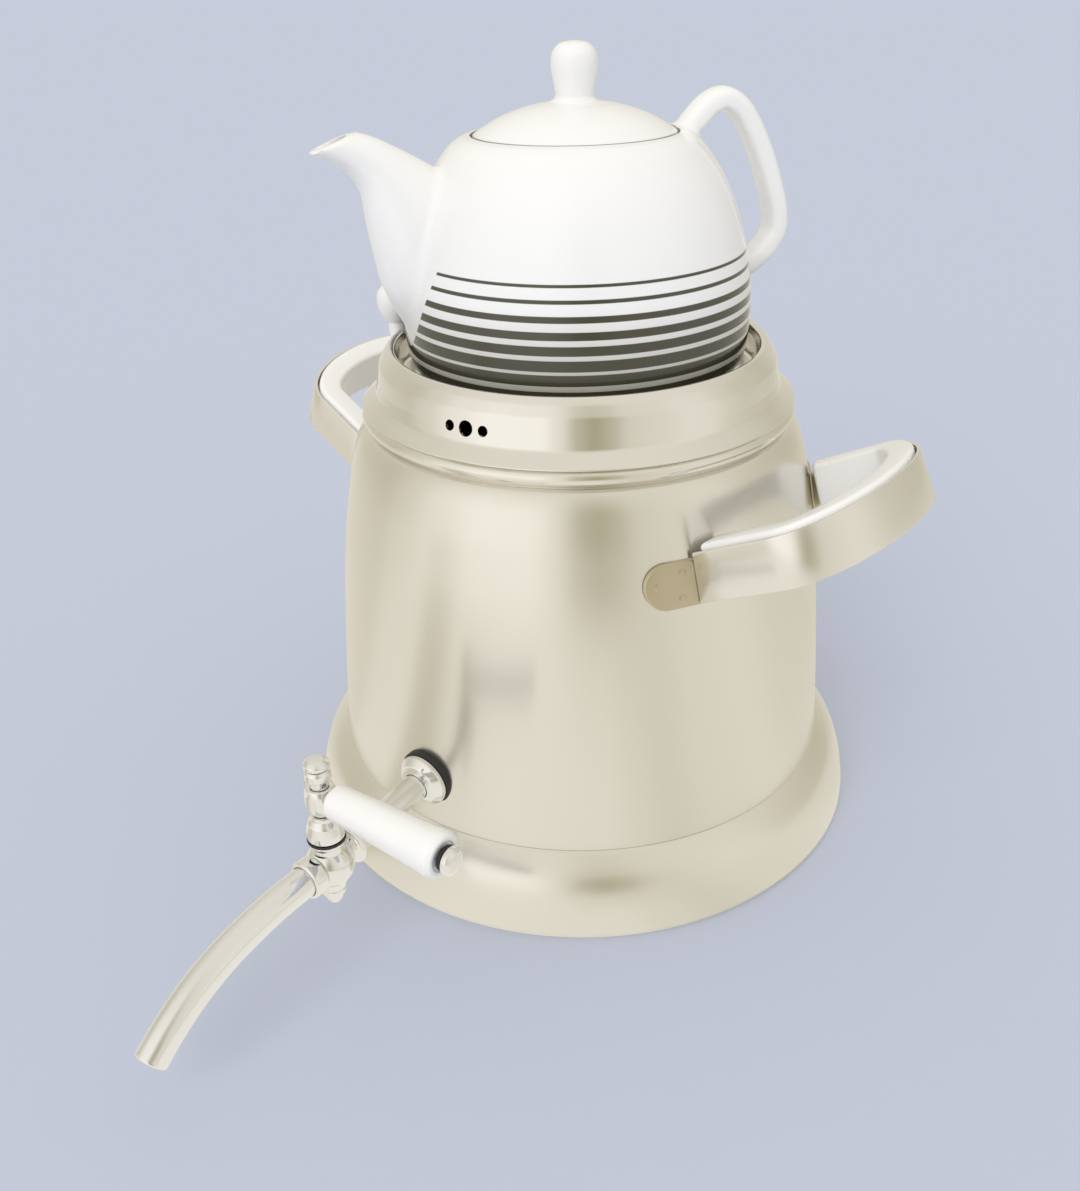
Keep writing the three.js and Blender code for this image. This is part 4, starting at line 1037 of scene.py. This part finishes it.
def grown_together(name, shapes):
    """The shapes as one skin: soft where two meet, and on the shapes everywhere else."""
    piece = mesh_object(name, *shapes)
    skin = piece.modifiers.new("skin", "REMESH")
    skin.mode = "VOXEL"
    skin.voxel_size = VOXEL * MM
    applied(piece)
    mesh = piece.data
    total = len(mesh.vertices)
    place = np.zeros(total * 3)
    mesh.vertices.foreach_get("co", place)
    place = place.reshape(-1, 3)
    edges = np.zeros(len(mesh.edges) * 2, int)
    mesh.edges.foreach_get("vertices", edges)
    edges = edges.reshape(-1, 2)
    joined = np.bincount(edges.ravel(), minlength=total).astype(float)[:, None]
    trees = [source_tree(shape) for shape in shapes]
    near = np.zeros((total, len(trees)))
    spot = np.zeros((total, len(trees), 3))
    for i in range(total):
        for j, tree in enumerate(trees):
            found, _, _, distance = tree.find_nearest(Vector(place[i]))
            near[i, j] = distance
            spot[i, j] = found
    order = np.argsort(near, axis=1)
    first = spot[np.arange(total), order[:, 0]]
    second = near[np.arange(total), order[:, 1]] / MM
    hold = np.clip((second - BLEND_NEAR) / (BLEND_FAR - BLEND_NEAR), 0, 1)
    hold = (hold * hold * (3 - 2 * hold))[:, None]
    now = lerp(place, first, hold)
    for _ in range(SMOOTH_ROUNDS):
        around = np.zeros_like(now)
        np.add.at(around, edges[:, 0], now[edges[:, 1]])
        np.add.at(around, edges[:, 1], now[edges[:, 0]])
        now = lerp(around / joined, now, np.clip(hold + LEAST_HOLD, 0, 1))
        now = np.where(hold >= 1, first, now)
    mesh.vertices.foreach_set("co", now.ravel())
    mesh.update()
    return piece


teapot = grown_together("teapot_with_spout", [pot_solid, pot_spout, pot_handle])
inside_path = beside([tuple(p) for p in pot_path], -POT_WALL)
ledge_top = POT_HEIGHT - LEDGE_DEPTH
inside_path = [p for p in inside_path if POT_FLOOR < p[1] < ledge_top - LEDGE_DEPTH]
space = [(0, POT_FLOOR), (inside_path[0][0] - POT_WALL, POT_FLOOR), *inside_path]
space += [
    (LEDGE_RADIUS, ledge_top - LEDGE_DEPTH), (LEDGE_RADIUS, ledge_top), (MOUTH_RADIUS - GAP / 2, ledge_top),
    (MOUTH_RADIUS - GAP / 2, POT_HEIGHT + SPACE_TOP), (0, POT_HEIGHT + SPACE_TOP),
]
cut(teapot, mesh_object("pot_space", placed(turned(space, SPACE_SIDES), pot_frame)), solver="MANIFOLD")
channel_rings = [spout_ring(s, CHANNEL_INSET) for s in spout_table[CHANNEL_START:-1:CHANNEL_STEP]]
channel_rings += [spout_ring(tip, 3.1), spout_ring(tip, 2.9, 3)]
cut(teapot, mesh_object("channel", placed(lofted(channel_rings), pot_frame)), solver="MANIFOLD")
dress(teapot, porcelain, "teapot", "porcelain", "teapot_body", sharp=POT_SHARP)

# Lid
lid_radius = MOUTH_RADIUS - 3 * GAP
lid_edge = ledge_top + GAP
dome_foot = lid_edge + DOME_RISE
plug_inner = PLUG_RADIUS - PLUG_WALL
plug_foot = lid_edge - PLUG_DEPTH
dome = smooth_line([
    (lid_radius - 0.4, dome_foot + 0.2), (lid_radius * 0.9, dome_foot + 2.3),
    (lid_radius * 0.78, dome_foot + 4.8), (lid_radius * 0.6, dome_foot + 7.5),
    (lid_radius * 0.42, dome_foot + 9.4), (lid_radius * 0.3, dome_foot + 10.2),
    (lid_radius * 0.225, dome_foot + 10.9), (7.0, dome_foot + 12.4), (7.1, dome_foot + 14.4),
    (7.8, dome_foot + 18.5), (8.4, dome_foot + 23), (7.9, dome_foot + 26.7), (5.5, dome_foot + 29.5),
    (2, dome_foot + 30.45), (0, dome_foot + 30.55),
], 6)
lid_profile = [
    (0, lid_edge + 6), (20, lid_edge + 4), (plug_inner, lid_edge - 0.5), (plug_inner, plug_foot),
    (PLUG_RADIUS, plug_foot), (PLUG_RADIUS, lid_edge), (lid_radius - 0.4, lid_edge),
    (lid_radius, lid_edge + 0.4), (lid_radius, dome_foot - 0.4), *[tuple(p) for p in dome],
]
teapot_lid = mesh_object("lid_with_knob", placed(turned(lid_profile, LID_SIDES), pot_frame))
vent_top = dome_foot + 16
vent_outline = [(0, plug_foot), (LID_VENT_RADIUS, plug_foot), (LID_VENT_RADIUS, vent_top), (0, vent_top)]
vent_frame = pot_frame @ Matrix.Translation((-LID_VENT_OUT, 0, 0))
cut(teapot_lid, mesh_object("vent", placed(turned(vent_outline, LID_VENT_SIDES), vent_frame)))
dress(teapot_lid, lid_shadowed_glaze, "lid", "porcelain", "teapot_lid")

# CAD nodes that keep their shape and get a finish
PLAIN_NODES = {
    "heat_disc": satin, "tap_nut": bright, "valve_plug": bright, "seat_plate": bright,
    "stand_knob_screw": bright, "grip_screw_right_front": bright, "grip_screw_right_rear": bright,
    "grip_screw_left_front": bright, "grip_screw_left_rear": bright, "tap_inner_gasket": rubber,
    "valve_seal": rubber,
}
for node, finish in PLAIN_NODES.items():
    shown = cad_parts[node]
    shown.data.materials.clear()
    shown.data.materials.append(finish)

# Floor
def flat_card(name, inner, outer, height):
    """A flat ring for the stage, in metres."""
    vertices = []
    faces = []
    for k in range(CARD_SIDES):
        angle = 2 * math.pi * k / CARD_SIDES
        for radius in (inner, outer):
            vertices.append((radius * math.cos(angle), radius * math.sin(angle), height))
    for k in range(CARD_SIDES):
        a = 2 * k
        b = 2 * ((k + 1) % CARD_SIDES)
        faces.append([a, a + 1, b + 1, b])
    mesh = bpy.data.meshes.new(name)
    mesh.from_pydata(vertices, [], faces)
    card = bpy.data.objects.new(name, mesh)
    bpy.context.scene.collection.objects.link(card)
    return card


floor_material, _, floor_shader = new_material("floor_paper", FLOOR_COLOUR, 0.0, 0.9)
floor_shader.inputs["Specular IOR Level"].default_value = 0.0
floor = flat_card("floor", FLOOR_MIDDLE, FLOOR_RADIUS, -FLOOR_DROP)
floor.data.materials.append(floor_material)


def studio_bands(tree, axes, table):
    """Soft bands of light round the object, by the azimuth of a place or direction."""
    ahead, aside = turned_axes(tree, axes, CAMERA_TURN - math.pi / 2)
    share = math_node(tree, "ARCTAN2", aside, ahead)
    share = math_node(tree, "ADD", math_node(tree, "DIVIDE", share, 2 * math.pi), 0.5)
    ramp = tree.nodes.new("ShaderNodeValToRGB")
    ramp.color_ramp.interpolation = "EASE"
    while len(ramp.color_ramp.elements) < len(table):
        ramp.color_ramp.elements.new(0.5)
    for element, (degrees, bright_share) in zip(ramp.color_ramp.elements, table):
        element.position = (degrees + 180) / 360
        element.color = (*studio_colour(bright_share), 1)
    tree.links.new(share, ramp.inputs[0])
    return ramp.outputs[0]


def studio_colour(share):
    """The studio's colour from dark at 0 to bright at 1."""
    return tuple(lerp(a, b, share) for a, b in zip(STUDIO_DARK, STUDIO_BRIGHT))


# Reflector on the floor: only mirrored rays meet it, so the metal shows pale studio bands
reflector = flat_card("floor_reflector", REFLECTOR_HOLE, FLOOR_RADIUS, -REFLECTOR_DROP)
paper = bpy.data.materials.new("reflector_paper")
paper.use_nodes = True
paper_tree = paper.node_tree
paper_tree.nodes.clear()
_, paper_axes = object_axes(paper_tree)
farther = clamped(paper_tree, from_axis(paper_tree, paper_axes), NEAR_REACH, FAR_REACH)
near_colour = studio_bands(paper_tree, paper_axes, NEAR_BANDS)
far_colour = studio_bands(paper_tree, paper_axes, FAR_BANDS)
paper_colour = mixed(paper_tree, farther, near_colour, far_colour)
glow = paper_tree.nodes.new("ShaderNodeEmission")
paper_tree.links.new(paper_colour, glow.inputs["Color"])
paper_out = paper_tree.nodes.new("ShaderNodeOutputMaterial")
paper_tree.links.new(glow.outputs[0], paper_out.inputs["Surface"])
reflector.data.materials.append(paper)
reflector.visible_camera = False
reflector.visible_diffuse = False
reflector.visible_shadow = False
reflector.visible_transmission = False

# Studio air: plain for the light on the object, in soft bands where metal mirrors it
world = bpy.data.worlds.new("studio_air")
bpy.context.scene.world = world
world.use_nodes = True
air_tree = world.node_tree
air = air_tree.nodes["Background"]
direction = air_tree.nodes.new("ShaderNodeTexCoord")
way = air_tree.nodes.new("ShaderNodeSeparateXYZ")
air_tree.links.new(direction.outputs["Generated"], way.inputs[0])
ray = air_tree.nodes.new("ShaderNodeLightPath")
higher = clamped(air_tree, way.outputs["Z"], BANDS_END, PLAIN_START)
bands = mixed(air_tree, higher, studio_bands(air_tree, way.outputs, FAR_BANDS), studio_colour(STUDIO_MIDDLE))
plain = tuple(c * AIR_LEVEL for c in AIR_COLOUR)
air_colour = mixed(air_tree, ray.outputs["Is Glossy Ray"], plain, bands)
air_colour = mixed(air_tree, ray.outputs["Is Camera Ray"], air_colour, FLOOR_COLOUR)
air_tree.links.new(air_colour, air.inputs["Color"])

sun_lamp = bpy.data.lights.new("soft_sun", "SUN")
sun_lamp.energy = SUN_LEVEL
sun_lamp.angle = SUN_SPREAD
sun = bpy.data.objects.new("soft_sun", sun_lamp)
bpy.context.scene.collection.objects.link(sun)
sun_way = Vector((
    math.cos(SUN_RISE) * math.cos(SUN_AZIMUTH), math.cos(SUN_RISE) * math.sin(SUN_AZIMUTH),
    math.sin(SUN_RISE),
))
sun.rotation_euler = (-sun_way).to_track_quat("-Z", "Y").to_euler()
sun.visible_glossy = False

# Camera
turn_all = Matrix.Rotation(CAMERA_TURN, 3, "Z")
forward = Vector((
    math.sin(CAMERA_PAN) * math.cos(CAMERA_PITCH), math.cos(CAMERA_PAN) * math.cos(CAMERA_PITCH),
    -math.sin(CAMERA_PITCH),
))
level_right = Vector((math.cos(CAMERA_PAN), -math.sin(CAMERA_PAN), 0))
level_up = level_right.cross(forward)
right = math.cos(CAMERA_ROLL) * level_right + math.sin(CAMERA_ROLL) * level_up
up = -math.sin(CAMERA_ROLL) * level_right + math.cos(CAMERA_ROLL) * level_up
axes_now = [turn_all @ right, turn_all @ up, turn_all @ -forward]
camera_data = bpy.data.cameras.new("photo_camera")
camera_data.lens = CAMERA_LENS
camera_data.sensor_width = CAMERA_SENSOR
camera_data.clip_start = CAMERA_NEAR
camera_data.clip_end = CAMERA_FAR
camera = bpy.data.objects.new("photo_camera", camera_data)
bpy.context.scene.collection.objects.link(camera)
camera_turn = Matrix([[axis[i] for axis in axes_now] for i in range(3)]).to_4x4()
camera_place = turn_all @ Vector((0, -CAMERA_AWAY, CAMERA_HEIGHT)) * MM
camera.matrix_world = Matrix.Translation(camera_place) @ camera_turn
bpy.context.scene.camera = camera

bpy.context.scene.view_settings.view_transform = "Standard"
